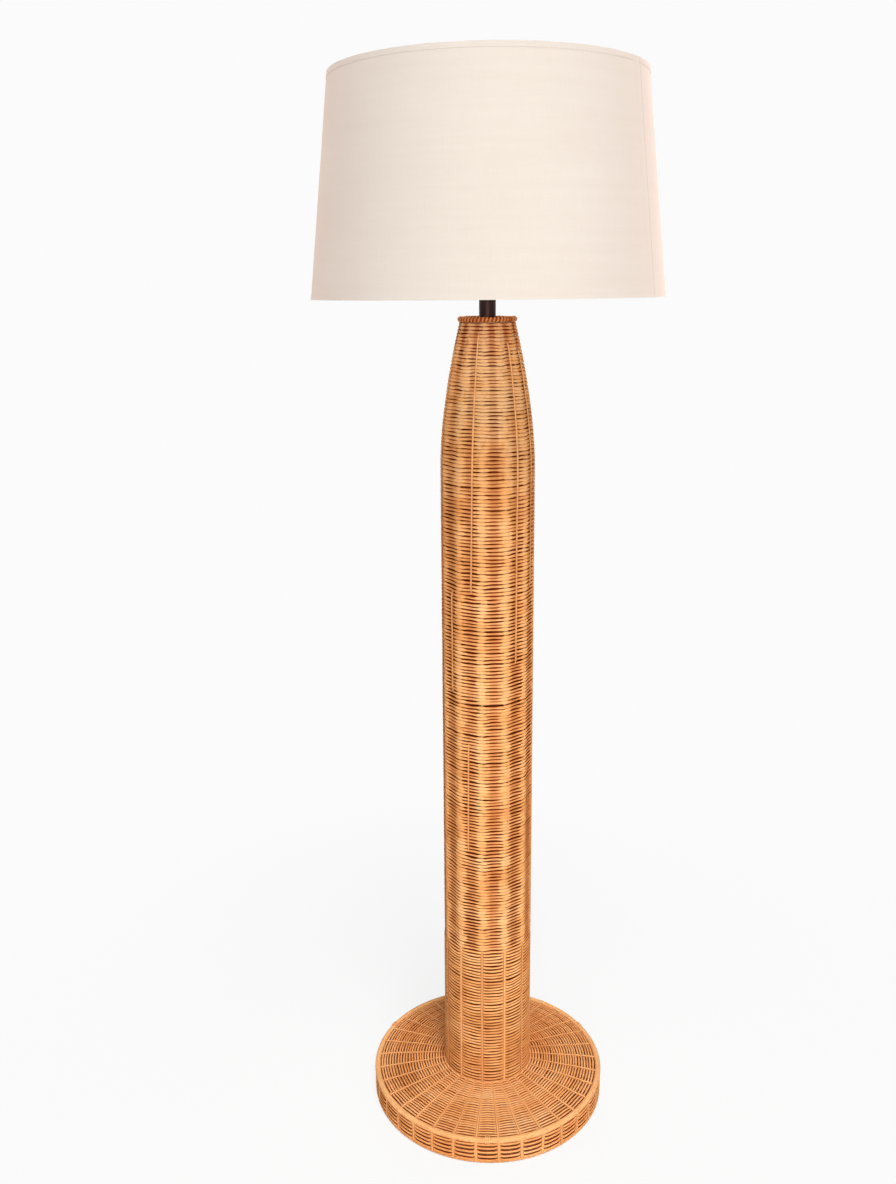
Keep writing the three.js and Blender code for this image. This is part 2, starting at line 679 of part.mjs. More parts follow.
// Shade: a linen panel on two wire rings, bound at both edges. The fitter's three arms stand
// against the inside of the top ring, bend down from it and run level to an eye. The finial
// clamps the eye on the harp through a pressed disc.
function addShade() {
  const slope = (shadeBottomRadius - shadeTopRadius) / shadeHeight;
  const outside = (z) => shadeBottomRadius - (z - shadeBottomZ) * slope - hemThickness - seatGap;
  const wallBand = (low, high, out) => revolve([
    [outside(low) + out.from, low], [outside(low) + out.to, low],
    [outside(high) + out.to, high], [outside(high) + out.from, high]], shadeSides);
  add("shade_panel", wallBand(shadeBottomZ + shadeEdge, lampHeight - shadeEdge,
    { from: -shadeWall, to: 0 }), linen);
  const hem = { from: seatGap, to: seatGap + hemThickness };
  add("shade_top_hem", wallBand(lampHeight - hemHeight, lampHeight, hem), linen);
  add("shade_bottom_hem", wallBand(shadeBottomZ, shadeBottomZ + hemHeight, hem), linen);

  const ringInset = shadeWall + seatGap + ringWireRadius;
  const lowRingZ = shadeBottomZ + shadeEdge + ringWireRadius;
  const topRingZ = lampHeight - shadeEdge - ringWireRadius;
  const ringRadius = (z) => outside(z) - ringInset;
  add("shade_bottom_ring", hoop(ringRadius(lowRingZ), lowRingZ, ringWireRadius, shadeSides), whiteWire);
  add("shade_top_ring", hoop(ringRadius(topRingZ), topRingZ, ringWireRadius, shadeSides), whiteWire);

  const eyeBore = studRadius + slideGap;
  const parts = [tube(eyeRadius, eyeBore, eyeZ, eyeZ + eyeThickness)];
  const levelZ = eyeZ + eyeThickness / 2;
  const endRadius = ringRadius(topRingZ) - ringWireRadius - seatGap - fitterArmRadius;
  for (let i = 0; i < fitterArms; i++) {
    const angle = Math.PI / 2 + (2 * Math.PI * i) / fitterArms;
    const bend = new THREE.QuadraticBezierCurve3(
      polar(endRadius - fitterBend, angle, levelZ),
      polar(endRadius, angle, levelZ),
      polar(endRadius, angle, topRingZ),
    );
    const points = [polar(eyeRadius - fitterArmRadius, angle, levelZ), ...bend.getPoints(4)];
    parts.push(wireAlong(points, fitterArmRadius, wireSides));
  }
  add("shade_fitter", join(parts), whiteWire);
  add("fitter_disc", tube(discRadius, eyeBore, discZ, discZ + discThickness), whiteWire);
}

// Finial: a small turned urn with a blind thread for the harp's stud
function addFinial() {
  const bore = studRadius + slideGap;
  const share = (r, z) => [finialRadius * r, finialZ + finialHeight * z];
  add("finial", revolve([
    [0, finialZ + finialBoreDepth], [bore, finialZ + finialBoreDepth], [bore, finialZ],
    share(0.82, 0), share(0.82, 0.12), share(0.6, 0.22), share(0.9, 0.42), share(1, 0.6),
    share(0.86, 0.8), share(0.5, 0.95), [0, finialZ + finialHeight]]), bronze);
}

addPedestal();
addBushing();
addBase();
addColumn();
addStem();
addHarp();
addHolder();
addBulb();
addShade();
addFinial();

export default lamp;
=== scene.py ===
import json
import math

import bpy
import numpy as np
from mathutils import Matrix, Vector


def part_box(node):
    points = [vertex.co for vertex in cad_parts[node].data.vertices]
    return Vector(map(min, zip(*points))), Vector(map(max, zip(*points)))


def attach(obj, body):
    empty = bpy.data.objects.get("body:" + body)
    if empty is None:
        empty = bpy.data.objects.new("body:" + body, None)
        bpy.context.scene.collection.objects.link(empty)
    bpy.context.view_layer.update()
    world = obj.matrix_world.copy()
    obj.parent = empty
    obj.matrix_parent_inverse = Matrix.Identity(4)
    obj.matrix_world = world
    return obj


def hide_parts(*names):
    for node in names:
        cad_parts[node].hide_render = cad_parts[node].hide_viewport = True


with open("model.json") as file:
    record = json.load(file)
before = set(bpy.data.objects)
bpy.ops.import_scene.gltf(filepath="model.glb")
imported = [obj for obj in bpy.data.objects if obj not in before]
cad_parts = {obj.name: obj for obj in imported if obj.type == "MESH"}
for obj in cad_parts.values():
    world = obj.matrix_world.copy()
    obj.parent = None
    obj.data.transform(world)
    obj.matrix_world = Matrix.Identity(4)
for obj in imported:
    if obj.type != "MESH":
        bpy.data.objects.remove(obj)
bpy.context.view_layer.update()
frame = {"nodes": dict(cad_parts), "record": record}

TURN = 2 * math.pi
UP = np.array((0, 0, 1.0))

# The photograph's viewpoint, in metres and radians
CAMERA_BACK = 1.6643
CAMERA_HEIGHT = 1.3464
CAMERA_PITCH = 0.2678
CAMERA_YAW = 0.0367
CAMERA_ROLL = -0.0097
CAMERA_REACH = 100
LENS = 33.86
FILM_HEIGHT = 36

# Woven column
COLUMN_STAKES = 24
COLUMN_TURN = math.radians(-22)
FOOT_RADIUS = 0.0732
SHOULDER_RADIUS = 0.0715
NECK_RADIUS = 0.0415
SHOULDER_DROP = 0.219
SHOULDER_POWER = 1.7
STEM_SHOWN = 0.026
STRAND_HALF_DEEP = 0.00130
STAKE_HALF_DEEP = 0.0008

# Its rows. A rise says where a change starts and how far up it goes.
BAND_FOOT = 0.302
ROWS_CROSS = 0.018
ROW_PITCH = 0.0056
FIRST_ROW_RISE = 0.0021
LAST_ROW_DROP = 0.0014
SQUEEZE_RISE = (1.10, 0.10)
NECK_SQUEEZE = 0.0007
NECK_RISE = (1.09, 0.12)
ROWS_PER_STRAND = 3
COLUMN_SAMPLES = 8 * COLUMN_STAKES

# How far they swing in and out, and stray up and down
SWING = 0.0013
SWING_SHIFT = 0.1
SWING_SHARPNESS = 1.15
FOOT_DIP = 0.052
ROW_BEND = 0.0012
ROW_RIPPLE = 0.0007
ROW_JITTER = 0.00022
CALM_END = 0.02
LOOSE_DEPTH = 0.0002
LOOSE_SWAY = 0.00025
LOOSE_JITTER = 0.0001
ROW_TILT = 0.10
TILT_DEPTH = 0.0012

# How much of its pitch a row fills: less in the open bays, all of it where it closes over a stake
BAY_FILLS = (0.78, 0.76, 0.80, 0.74, 0.78, 0.82, 0.76, 0.78, 0.78, 0.73, 0.84, 0.74)
BAY_FILL_SWAY = 0.08
BAY_FILL_TURN = 2
FOOT_FILL = 0.74
UPPER_FILL = 0.93
UPPER_FILL_RISE = (0.90, 0.25)
CLOSED_FILL = 1.03
FOOT_CLOSED = 0.9
BAND_SHARPNESS = 2.0
BAND_NARROWING = 0.72
BAND_STRAY = 0.85
BAND_STRAY_NECK = 0.9
ROW_PLUMP = 0.22
ROW_SIZE_JITTER = 0.03
ROW_FULLNESS = 0.92

# Its colour: tint goes from dark to light cane, and is lowered towards the sides as painted shade.
# Shelter is painted shade deep between the strands, and the lampshade's painted shadow on the neck.
PATCH_TINT = 0.5
STRAND_TINTS = (0.35, 0.65)
ROW_TINTS = (-0.2, 0.2)
CLOSED_TINT = 0.35
NECK_TINT = 0.60
SIDE_PAINTED_SHADE = 0.7
LIGHTEST = 1.4
BAY_PAINTED_SHADE = 0.30
FOOT_PAINTED_SHADE = 0.25
LAMPSHADE_PAINTED_SHADOW = 0.30
LAMPSHADE_SHADOW_RISE = (1.225, 0.06)
NECK_FLANK = 0.35
CLOSED_FLANK = 0.55
INNER_PAINTED_SHADE = 0.35

# Its main stakes and the short ones between them
STAKES_CROSS = 0.012
STAKE_SAMPLES = 240
STAKE_SWAY = 0.006
STAKE_SHAVING = 0.12
MAIN_HALF_WIDE = 0.0022
MAIN_PLUMP = 0.10
SHORT_HALF_WIDE = 0.0016
SHORT_PLUMP = 0.15
SHORT_STEP = 0.006
SHORT_FEWEST = 20
SHORT_PROUD = 0.0005
TUCK_LENGTH = 0.008
TUCK_DEPTH = 0.0016
TUCK_NARROWING = 0.35
SHORT_SHELTER = 0.34
CLEAR_SHELTER = 0.08
CLEAR_RISE = (1.0, 0.12)

# Places where two rows stand apart: degrees round, height, opening, and half width in degrees
GAP_SHARPNESS = 2
GAP_ROWS = 3
COLUMN_GAPS = (
    (-58, 0.247, 0.0019, 12),
    (-120, 0.249, 0.0007, 45),
    (-95, 0.343, 0.0013, 9),
    (-76, 0.337, 0.0010, 5),
    (-104, 0.473, 0.0017, 13),
    (-84, 0.728, 0.0018, 24),
    (-104, 0.717, 0.0010, 9),
    (-108, 0.902, 0.0010, 5),
    (-85, 0.897, 0.0011, 9),
    (-50, 0.903, 0.0012, 20),
    (60, 0.380, 0.0012, 18),
    (110, 0.820, 0.0012, 14),
    (170, 0.610, 0.0012, 20),
)

# The short stakes: degrees at foot and head, and the heights of foot and head
SHORT_STAKES = (
    (-110.6, -107, 0.905, 1.284),
    (-52, -50, 0.790, 1.270),
    (-115.6, -114.6, 0.478, 0.664),
    (-62, -61.6, 0.520, 0.640),
    (-140, -140.5, 0.740, 0.905),
    (-22, -21, 0.905, 1.262),
    (8, 9, 0.478, 1.20),
    (38, 38.5, 0.340, 0.905),
    (68, 67, 0.820, 1.272),
    (98, 98.5, 0.384, 0.815),
    (128, 127, 0.615, 1.262),
    (158, 158.5, 0.340, 0.606),
    (188, 189, 0.905, 1.270),
)

# Border rolled round the neck
BORDER_INSET = 0.0021
BORDER_DROP = 0.0038
BORDER_REACH = 0.0031
BORDER_WRAPS = 47
BORDER_SAMPLES = 16 * BORDER_WRAPS
BORDER_SLIP = 0.016
BORDER_PLUMP = 0.18
BORDER_HALF_DEEP = 0.0009
BORDER_HALF_WIDE = 0.0020
BORDER_CORE = 0.0026

# Woven base
BASE_STAKES = 66
BASE_TURN = -math.pi / 2
BASE_RADIUS = 0.1962
RIM_RADIUS = 0.0049
RIM_TOP = 0.0458
RIM_SAMPLES = 240
RIM_FACETS = 14
RIM_WOBBLE = 0.0003
RIM_DROP = 0.0002
RIM_THINNING = 0.03
LASHING_ANGLES = (-90, -64, 30, 152)
LASHING_SAMPLES = 20
LASHING_FACETS = 6
LASHING_STEP = 0.0030
LASHING_PROUD = 0.0004
LASHING_HALF_DEEP = 0.0005
LASHING_HALF_WIDE = 0.0012

# Its top
TOP_SAMPLES = 7 * BASE_STAKES
TOP_EDGE = 0.0454
TOP_RISE = 0.0096
TOP_SAG = 0.0010
TOP_SAG_POWER = 8
TOP_INNER_GAP = 0.0002
TOP_OUTER_GAP = 0.0012
TOP_PITCH = 0.0048
TOP_HALF_DEEP = 0.0019
TOP_HALF_WIDE = 0.00180
TOP_BEND = 0.0010
TOP_RIPPLE = 0.0008
TOP_JITTER = 0.00016
TOP_CALM_EDGE = 0.012
TOP_SWING = 0.0006
TOP_PLUMP = 0.13
TOP_TINTS = (0.15, 0.75)
TOP_LIGHTEST = 1.3
# Painted shade on the rows' flanks
TOP_FLANK = 1.35
OPEN_WIDTH = 0.96
UNDER_SPOKE = 0.0042
UNDER_WIDENING = 0.28
# Painted shade where the rows dip under a spoke, with less painted shade on their flanks there
UNDER_SPOKE_PAINTED_SHADE = 0.1
UNDER_FLANK = 0.6
OVER_SPOKE = 0.0040
OVER_WIDENING = 0.14
BESIDE_WIDENING = 0.12
# Painted shade darker at the sides and painted light brighter at the front
BESIDE_PAINTED_SHADE = 0.6
PAINTED_FRONT_LIGHT = 0.35
FRONT_LESS_PAINTED_SHADE = 0.35
SPOKE_SAMPLES = 60
SPOKE_HALF_DEEP = 0.0007
SPOKE_HALF_WIDE = 0.0022
SPOKE_SWAY = 0.010
SPOKE_PLUMP = 0.12
SPOKE_TURN = 1
SPOKE_SUNK = 0.0004
SPOKE_OVERHANG = 0.002
INNER_SPOKE_WIDTH = 0.45
HIDDEN_SPOKE_WIDTH = 0.7

# Its wall, with a rope of two strands at the foot
WALL_SAMPLES = 8 * BASE_STAKES
WALL_INSET = 0.0006
WALL_PITCH = 0.0066
WALL_HALF_DEEP = 0.0019
WALL_HALF_TALL = 0.0030
WALL_BEND = 0.0011
WALL_JITTER = 0.0002
WALL_LIFT = 0.0004
WALL_PLUMP = 0.09
WALL_TINTS = (0.0, 0.5)
# Painted shade on the rows' flanks
WALL_FLANK = 1.4
WALL_OPEN_HEIGHT = 0.75
WALL_TOP_GAP = 0.0018
WALL_FULLNESS = 0.85
BEHIND_POST = 0.026
BEHIND_GROWTH = 0.27
# Painted shade where the rows pass behind a post, with less painted shade on their flanks there
BEHIND_POST_PAINTED_SHADE = 0.2
BEHIND_FLANK = 0.8
POST_SAMPLES = 24
POST_HALF_DEEP = 0.0008
POST_HALF_WIDE = 0.0028
HIDDEN_POST_WIDE = 0.0016
POST_LEAN = 0.003
POST_SUNK = 0.0003
POST_TOP = 0.00294
POST_PLUMP = 0.10
POST_WAVES = 310
ROPE_STRANDS = 2
ROPE_TURNS = 70
ROPE_SAMPLES = 12 * ROPE_TURNS
ROPE_HALF_THICK = 0.0012
ROPE_OFFSET = 0.0009
ROPE_LIFT = 0.0004
ROPE_TO_ROW = 0.0034

# Shade
SHADE_HEIGHT = 0.297
SHADE_TOP_RADIUS = 0.221
SHADE_BOTTOM_RADIUS = 0.254
PANEL_COLUMNS = 260
PANEL_ROWS = 20
PANEL_THICKNESS = 0.0006
PANEL_INSET = 0.0008
PANEL_MARGIN = 0.0006
PANEL_RIPPLE = 0.0003
SEAM_ANGLE = math.radians(-31.5)
SEAM_LAP = 0.014
SEAM_RAMP = 0.02
SEAM_RISE = 0.0006
SEAM_LINE = (TURN * SHADE_BOTTOM_RADIUS - 0.0018, TURN * SHADE_BOTTOM_RADIUS - 0.0008)
SEAM_COLOR = (0.66, 0.56, 0.48)
HEM_COLUMNS = 200
HEM_HEIGHT = 0.007
HEM_INSET = 0.0005
HEM_RIPPLE = 0.0002
HEM_THICKNESS = 0.0004
HEM_LENGTH = 1.4
CLOTH_SMOOTHING = math.radians(40)

# Stem, bulb and finial
STEM_GROWTH = 0.0004
STEM_WALL = 0.0018
BULB_WALL = 0.0012
BULB_NECK_RADIUS = 0.0124
BULB_NECK_LENGTH = 0.010
BULB_NECK_STEPS = 12
BULB_GLOBE_STEPS = 24
BULB_WAIST = math.radians(-45)
FINIAL_HOLE_DEPTH = 0.0113
FINIAL_HOLE_RADIUS = 0.0037
FINIAL_OUTLINE = (
    (0.82, 0.0), (0.82, 0.12), (0.66, 0.18), (0.61, 0.22), (0.66, 0.27), (0.82, 0.36), (0.93, 0.44),
    (0.99, 0.53), (1.0, 0.6), (0.98, 0.68), (0.90, 0.77), (0.77, 0.85), (0.52, 0.94), (0.26, 0.985),
)
POLE = 0.000004
WELD = 0.00001
LATHE_SIDES = 64
LATHE_SMOOTHING = math.radians(30)

# Floor and light
FLOOR_SIZE = 60
FLOOR_DROP = 0.0002
FLOOR_COLOR = (0.9, 0.9, 0.9)
SHADOW_REACH = (0.22, 1.2)
SHADOW_GLOW = (0.84, 1.0)
BASE_FOOTPRINT = (BASE_RADIUS - 0.003, BASE_RADIUS - 0.001)
WHITE = 0.966
WORLD_LIGHT = 0.29

# Places taken from the frame
shade_bottom_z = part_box("shade_bottom_hem")[0][2]
shade_top_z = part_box("shade_top_hem")[1][2]
column_foot_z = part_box("column_core")[0][2]
weave_foot_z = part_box("column_weave")[0][2]
column_top_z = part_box("column_weave")[1][2]
neck_top_z = shade_bottom_z - STEM_SHOWN
shoulder_z = neck_top_z - SHOULDER_DROP


def aim_camera():
    """Sets the camera where the photograph was taken from"""
    bpy.ops.object.camera_add(location=(0, -CAMERA_BACK, CAMERA_HEIGHT))
    camera = bpy.context.object
    camera.name = "camera"
    yaw = Matrix.Rotation(CAMERA_YAW, 3, "Z")
    pitch = Matrix.Rotation(math.pi / 2 - CAMERA_PITCH, 3, "X")
    roll = Matrix.Rotation(CAMERA_ROLL, 3, "Z")
    camera.rotation_euler = (yaw @ pitch @ roll).to_euler()
    camera.data.sensor_fit = "VERTICAL"
    camera.data.sensor_height = FILM_HEIGHT
    camera.data.lens = LENS
    camera.data.clip_end = CAMERA_REACH
    bpy.context.scene.camera = camera


# Materials


class Graph:
    """The nodes of a material or of the world, joined up step by step"""

    def __init__(self, owner):
        owner.use_nodes = True
        self.nodes = owner.node_tree.nodes
        self.links = owner.node_tree.links

    def feed(self, node, sockets):
        """Sets each of a node's sockets to a value, or wires it to another node's"""
        for label, value in sockets.items():
            if isinstance(value, bpy.types.NodeSocket):
                self.links.new(value, node.inputs[label])
            else:
                node.inputs[label].default_value = value

    def add(self, kind, **sockets):
        """Adds a node. An underscore stands for each space in a socket's name."""
        node = self.nodes.new("ShaderNode" + kind)
        self.feed(node, {label.replace("_", " "): value for label, value in sockets.items()})
        return node

    def reckon(self, operation, *values):
        node = self.add("Math")
        node.operation = operation
        self.feed(node, dict(enumerate(values)))
        return node.outputs["Value"]

    def weighed(self, *parts):
        """The sum of values, each times its weight"""
        total = 0
        for value, weight in parts:
            total = self.reckon("MULTIPLY_ADD", value, weight, total)
        return total

    def span(self, value, old, new=(0.0, 1.0)):
        """Turns the range old into the range new, and stays within that"""
        node = self.add("MapRange", Value=value, From_Min=old[0], From_Max=old[1],
                        To_Min=new[0], To_Max=new[1])
        return node.outputs["Result"]

    def backdrop_rays(self):
        """1 for rays that see the background directly, in a mirror or through glass"""
        path = self.add("LightPath").outputs
        rays = self.reckon("MAXIMUM", path["Is Camera Ray"], path["Is Glossy Ray"])
        return self.reckon("MAXIMUM", rays, path["Is Transmission Ray"])


class Finish(Graph):
    """A material and its shader"""

    def __init__(self, roughness=0.5, metallic=0.0, specular=0.5):
        self.material = bpy.data.materials.new("finish")
        super().__init__(self.material)
        self.shader = self.nodes["Principled BSDF"]
        self.dial("Roughness", roughness)
        self.dial("Metallic", metallic)
        self.dial("Specular IOR Level", specular)
        self.place = self.add("TexCoord").outputs["Object"]

    def dial(self, label, value):
        """Sets one of the shader's own sockets, or wires it"""
        self.feed(self.shader, {label: value})

    def along(self):
        """Metres along the strand or cloth, and its other direction"""
        return self.add("UVMap").outputs["UV"]

    def attribute(self, name):
        node = self.add("Attribute")
        node.attribute_name = name
        return node.outputs["Fac"]

    def noise(self, vector, scale=1.0, detail=3.0, roughness=0.55, stretch=None, turn=0.0):
        if stretch:
            mapping = self.add("Mapping", Vector=vector, Rotation=(0, 0, turn), Scale=stretch)
            vector = mapping.outputs["Vector"]
        node = self.add("TexNoise", Vector=vector, Scale=scale, Detail=detail, Roughness=roughness)
        return node.outputs["Fac"]

    def ramp(self, value, *stops):
        node = self.add("ValToRGB", Fac=value)
        while len(node.color_ramp.elements) < len(stops):
            node.color_ramp.elements.new(0.5)
        for element, (position, color) in zip(node.color_ramp.elements, stops):
            element.position = position
            element.color = (*color, 1)
        return node.outputs["Color"]

    def darkened(self, amount, color, darkening):
        """The colour times a darker colour, as far as amount says. A Mix node holds the sockets of all
        its kinds of value, and those for colours are the ones numbered here."""
        node = self.add("Mix")
        node.data_type = "RGBA"
        node.blend_type = "MULTIPLY"
        self.feed(node, {0: amount, 6: color, 7: (*darkening, 1)})
        return node.outputs[2]

    def bump(self, height, distance, strength):
        node = self.add("Bump", Height=height, Distance=distance, Strength=strength)
        self.dial("Normal", node.outputs["Normal"])


def rattan_finish(dark, middle, light, darkening, wear=0.45):
    """Split rattan: lengthwise streaks, a colour of its own for each strand, and painted shade
    that makes it browner deep inside
    """
    made = Finish(roughness=0.6, specular=0.02)
    streak = made.noise(made.along(), stretch=(34, 9, 1), detail=4.0, roughness=0.6)
    fleck = made.noise(made.along(), stretch=(160, 26, 1), detail=2.0, roughness=0.5)
    patch = made.noise(made.place, scale=14.0)
    cloud = made.noise(made.place, scale=2.6, detail=2.0)
    tone = made.weighed((streak, 0.46), (patch, 0.24), (made.attribute("tint"), 0.20), (cloud, 0.14))
    body = made.ramp(made.span(tone, (0.28, 0.78)), (0.0, dark), (0.5, middle), (1.0, light))
    pits = made.span(fleck, (0.30, 0.40), (wear, 0.0))
    # Painted shade, together with any even stain a piece is given, darkens and browns the cane
    shade_and_stain = made.span(made.attribute("shade_and_stain"), (0.15, 0.95), (0.0, 0.97))
    made.dial("Base Color", made.darkened(shade_and_stain, made.darkened(pits, body, darkening), darkening))
    made.dial("Roughness", made.span(streak, (0.3, 0.7), (0.68, 0.50)))
    made.bump(made.weighed((streak, 1.0), (fleck, 0.5)), distance=0.0005, strength=0.7)
    return made.material


def linen_finish(shade, cloth, slub):
    """Plain linen: crossing threads with slubs, faint cloudiness, and a darker line at the seam"""
    made = Finish(roughness=0.85, specular=0.2)
    uv = made.along()
    weft = made.noise(uv, stretch=(26, 1150, 1), roughness=0.65)
    warp = made.noise(uv, stretch=(1150, 30, 1), roughness=0.65)
    crease = made.noise(uv, stretch=(4, 90, 1), turn=math.radians(14), detail=2.0)
    cloud = made.noise(made.place, scale=5.0)
    threads = made.weighed((weft, 0.40), (warp, 0.45), (crease, 0.3), (cloud, 0.3))
    body = made.ramp(made.span(threads, (0.5, 0.95)), (0.0, shade), (0.5, cloth), (1.0, slub))
    seam = made.span(made.add("SeparateXYZ", Vector=uv).outputs["X"], SEAM_LINE)
    made.dial("Base Color", made.darkened(seam, body, SEAM_COLOR))
    made.dial("Sheen Weight", 0.9)
    made.dial("Sheen Roughness", 0.6)
    made.dial("Sheen Tint", (1.0, 0.78, 0.68, 1))
    made.bump(threads, distance=0.0004, strength=0.6)
    return made.material


def metal_finish(color, worn, roughness, metallic=1.0, grain=(60, 60, 900)):
    """Turned metal: fine lines from the lathe, soft stains and a little wear"""
    made = Finish(roughness, metallic)
    lines = made.noise(made.place, stretch=grain)
    stains = made.noise(made.place, scale=38.0, detail=4.0)
    mix = made.weighed((lines, 0.5), (stains, 0.5))
    made.dial("Base Color", made.ramp(made.span(mix, (0.32, 0.70)), (0.0, color), (1.0, worn)))
    made.dial("Roughness", made.span(mix, (0.3, 0.7), (roughness - 0.06, roughness + 0.12)))
    made.bump(lines, distance=0.0002, strength=0.25)
    return made.material


def wood_finish(pale, dark):
    """Birch plywood: grain along X, broken by its plies at the edge"""
    made = Finish(roughness=0.7, specular=0.3)
    grain = made.noise(made.place, stretch=(6, 160, 30), detail=5.0, roughness=0.6)
    plies = made.noise(made.place, stretch=(1, 1, 420), detail=1.0)
    value = made.weighed((grain, 0.65), (plies, 0.35))
    made.dial("Base Color", made.ramp(made.span(value, (0.35, 0.68)), (0.0, dark), (1.0, pale)))
    made.bump(grain, distance=0.0004, strength=0.4)
    return made.material


def plain_finish(low, high, roughness, scale, depth, specular=0.5):
    """A moulded, cast, painted or felted surface: two close colours and a fine grain"""
    made = Finish(roughness, specular=specular)
    fine = made.noise(made.place, scale, detail=5.0, roughness=0.65)
    broad = made.noise(made.place, scale / 14)
    value = made.weighed((fine, 0.6), (broad, 0.4))
    made.dial("Base Color", made.ramp(made.span(value, (0.35, 0.66)), (0.0, low), (1.0, high)))
    made.dial("Roughness", made.span(broad, (0.3, 0.7), (roughness - 0.05, roughness + 0.08)))
    made.bump(fine, depth, strength=0.6)
    return made.material


def glass_finish():
    """Opal glass: milky, with a satin skin"""
    made = Finish(roughness=0.28)
    cloud = made.noise(made.place, scale=60.0)
    made.dial("Base Color", made.ramp(cloud, (0.3, (0.86, 0.85, 0.80)), (0.7, (0.93, 0.92, 0.88))))
    made.dial("Subsurface Weight", 0.3)
    made.dial("Subsurface Radius", (0.01, 0.01, 0.01))
    made.dial("Coat Weight", 0.3)
    made.bump(cloud, distance=0.0001, strength=0.2)
    return made.material


# The colour that worn pits and painted shade multiply into the rattan
RATTAN_WEAR_AND_SHADE = (0.37, 0.070, 0.009)
FINISHES = {
    "rattan_weave": rattan_finish(
        dark=(0.66, 0.225, 0.055), middle=(0.90, 0.43, 0.155), light=(0.93, 0.56, 0.27),
        darkening=RATTAN_WEAR_AND_SHADE),
    "rattan_stakes": rattan_finish(
        dark=(0.72, 0.28, 0.085), middle=(0.93, 0.47, 0.18), light=(0.98, 0.61, 0.28),
        darkening=RATTAN_WEAR_AND_SHADE),
    "rim_cane": rattan_finish(
        dark=(0.66, 0.24, 0.07), middle=(0.87, 0.43, 0.17), light=(0.95, 0.60, 0.29),
        darkening=(0.34, 0.075, 0.012), wear=0.9),
    "linen": linen_finish(
        shade=(0.60, 0.53, 0.467), cloth=(0.63, 0.565, 0.50), slub=(0.66, 0.595, 0.535)),
    "bronze": metal_finish(
        color=(0.020, 0.009, 0.008), worn=(0.050, 0.020, 0.016),
        roughness=0.36, metallic=0.75, grain=(420, 420, 6)),
    "brass": metal_finish(color=(0.52, 0.34, 0.11), worn=(0.66, 0.46, 0.18), roughness=0.3),
    "nickel": metal_finish(color=(0.60, 0.58, 0.54), worn=(0.72, 0.70, 0.66), roughness=0.26),
    "steel": metal_finish(color=(0.42, 0.42, 0.41), worn=(0.58, 0.58, 0.56), roughness=0.38),
    "dark_pulp": plain_finish(
        low=(0.15, 0.034, 0.008), high=(0.20, 0.050, 0.012),
        roughness=0.92, scale=500, depth=0.0006, specular=0.0),
    "black_iron": plain_finish(
        low=(0.018, 0.017, 0.017), high=(0.030, 0.028, 0.027),
        roughness=0.7, scale=700, depth=0.0006, specular=0.1),
    "white_wire": plain_finish(
        low=(0.78, 0.76, 0.72), high=(0.86, 0.84, 0.80), roughness=0.42, scale=400, depth=0.0001),
    "plywood": wood_finish(pale=(0.66, 0.46, 0.26), dark=(0.44, 0.27, 0.13)),
    "felt": plain_finish(
        low=(0.022, 0.021, 0.019), high=(0.050, 0.047, 0.043),
        roughness=0.95, scale=1400, depth=0.001, specular=0.1),
    "phenolic": plain_finish(
        low=(0.012, 0.011, 0.010), high=(0.022, 0.020, 0.018),
        roughness=0.35, scale=500, depth=0.0001),
    "fibre": plain_finish(
        low=(0.13, 0.09, 0.055), high=(0.20, 0.14, 0.09), roughness=0.8, scale=600, depth=0.0003),
    "opal_glass": glass_finish(),
}
for slot_name, material in FINISHES.items():
    material.name = slot_name


# Making pieces


def eased(value):
    value = np.clip(value, 0, 1)
    return value * value * (3 - 2 * value)


def risen(value, start, span):
    """0 up to start and 1 from start + span on, with an easy way between"""
    return eased((value - start) / span)


def ring(samples, start=0):
    """Even steps once round, in radians"""
    return start + np.arange(samples) * TURN / samples


def polar(radius, angle, height):
    radius, angle, height = np.broadcast_arrays(radius, angle, height)
    return np.stack((radius * np.cos(angle), radius * np.sin(angle), height), axis=-1)


def unit(vectors):
    return vectors / np.linalg.norm(vectors, axis=-1, keepdims=True)


def dip(angle, turn, stakes, half_width):
    """1 where a strand passes a stake, 0 between them"""
    away = np.mod((angle - turn) * stakes / TURN + 0.5, 1) - 0.5
    return np.exp(-(away * TURN / stakes / half_width) ** 2)


def wound(ring_radius, height, away, angle, spin):
    """The path of a strand wound round a ring, and the way it faces"""
    path = polar(ring_radius + away * np.cos(spin), angle, height + away * np.sin(spin))
    return path, polar(np.cos(spin), angle, np.sin(spin))


class Uneven:
    """Smooth chance values from -1 to 1, round the lamp's axis and up it"""

    tallest = 1.7

    def __init__(self, seed, around, spacing):
        self.around = around
        self.spacing = spacing
        levels = int(self.tallest / spacing) + 3
        self.grid = np.random.default_rng(seed).uniform(-1, 1, (levels, around))

    def at(self, angle, height):
        column = np.mod(angle / TURN, 1) * self.around
        row = np.asarray(height) / self.spacing
        c0, r0 = np.floor(column).astype(int), np.floor(row).astype(int)
        fc, fr = eased(column - c0), eased(row - r0)
        r0 = np.clip(r0, 0, len(self.grid) - 2)
        near, far = c0 % self.around, (c0 + 1) % self.around
        low = self.grid[r0, near] * (1 - fc) + self.grid[r0, far] * fc
        high = self.grid[r0 + 1, near] * (1 - fc) + self.grid[r0 + 1, far] * fc
        return low * (1 - fr) + high * fr

    def track(self, number, angle):
        """One of several rounds that have nothing to do with each other"""
        return self.at(angle, 0.01 + 0.10 * number)


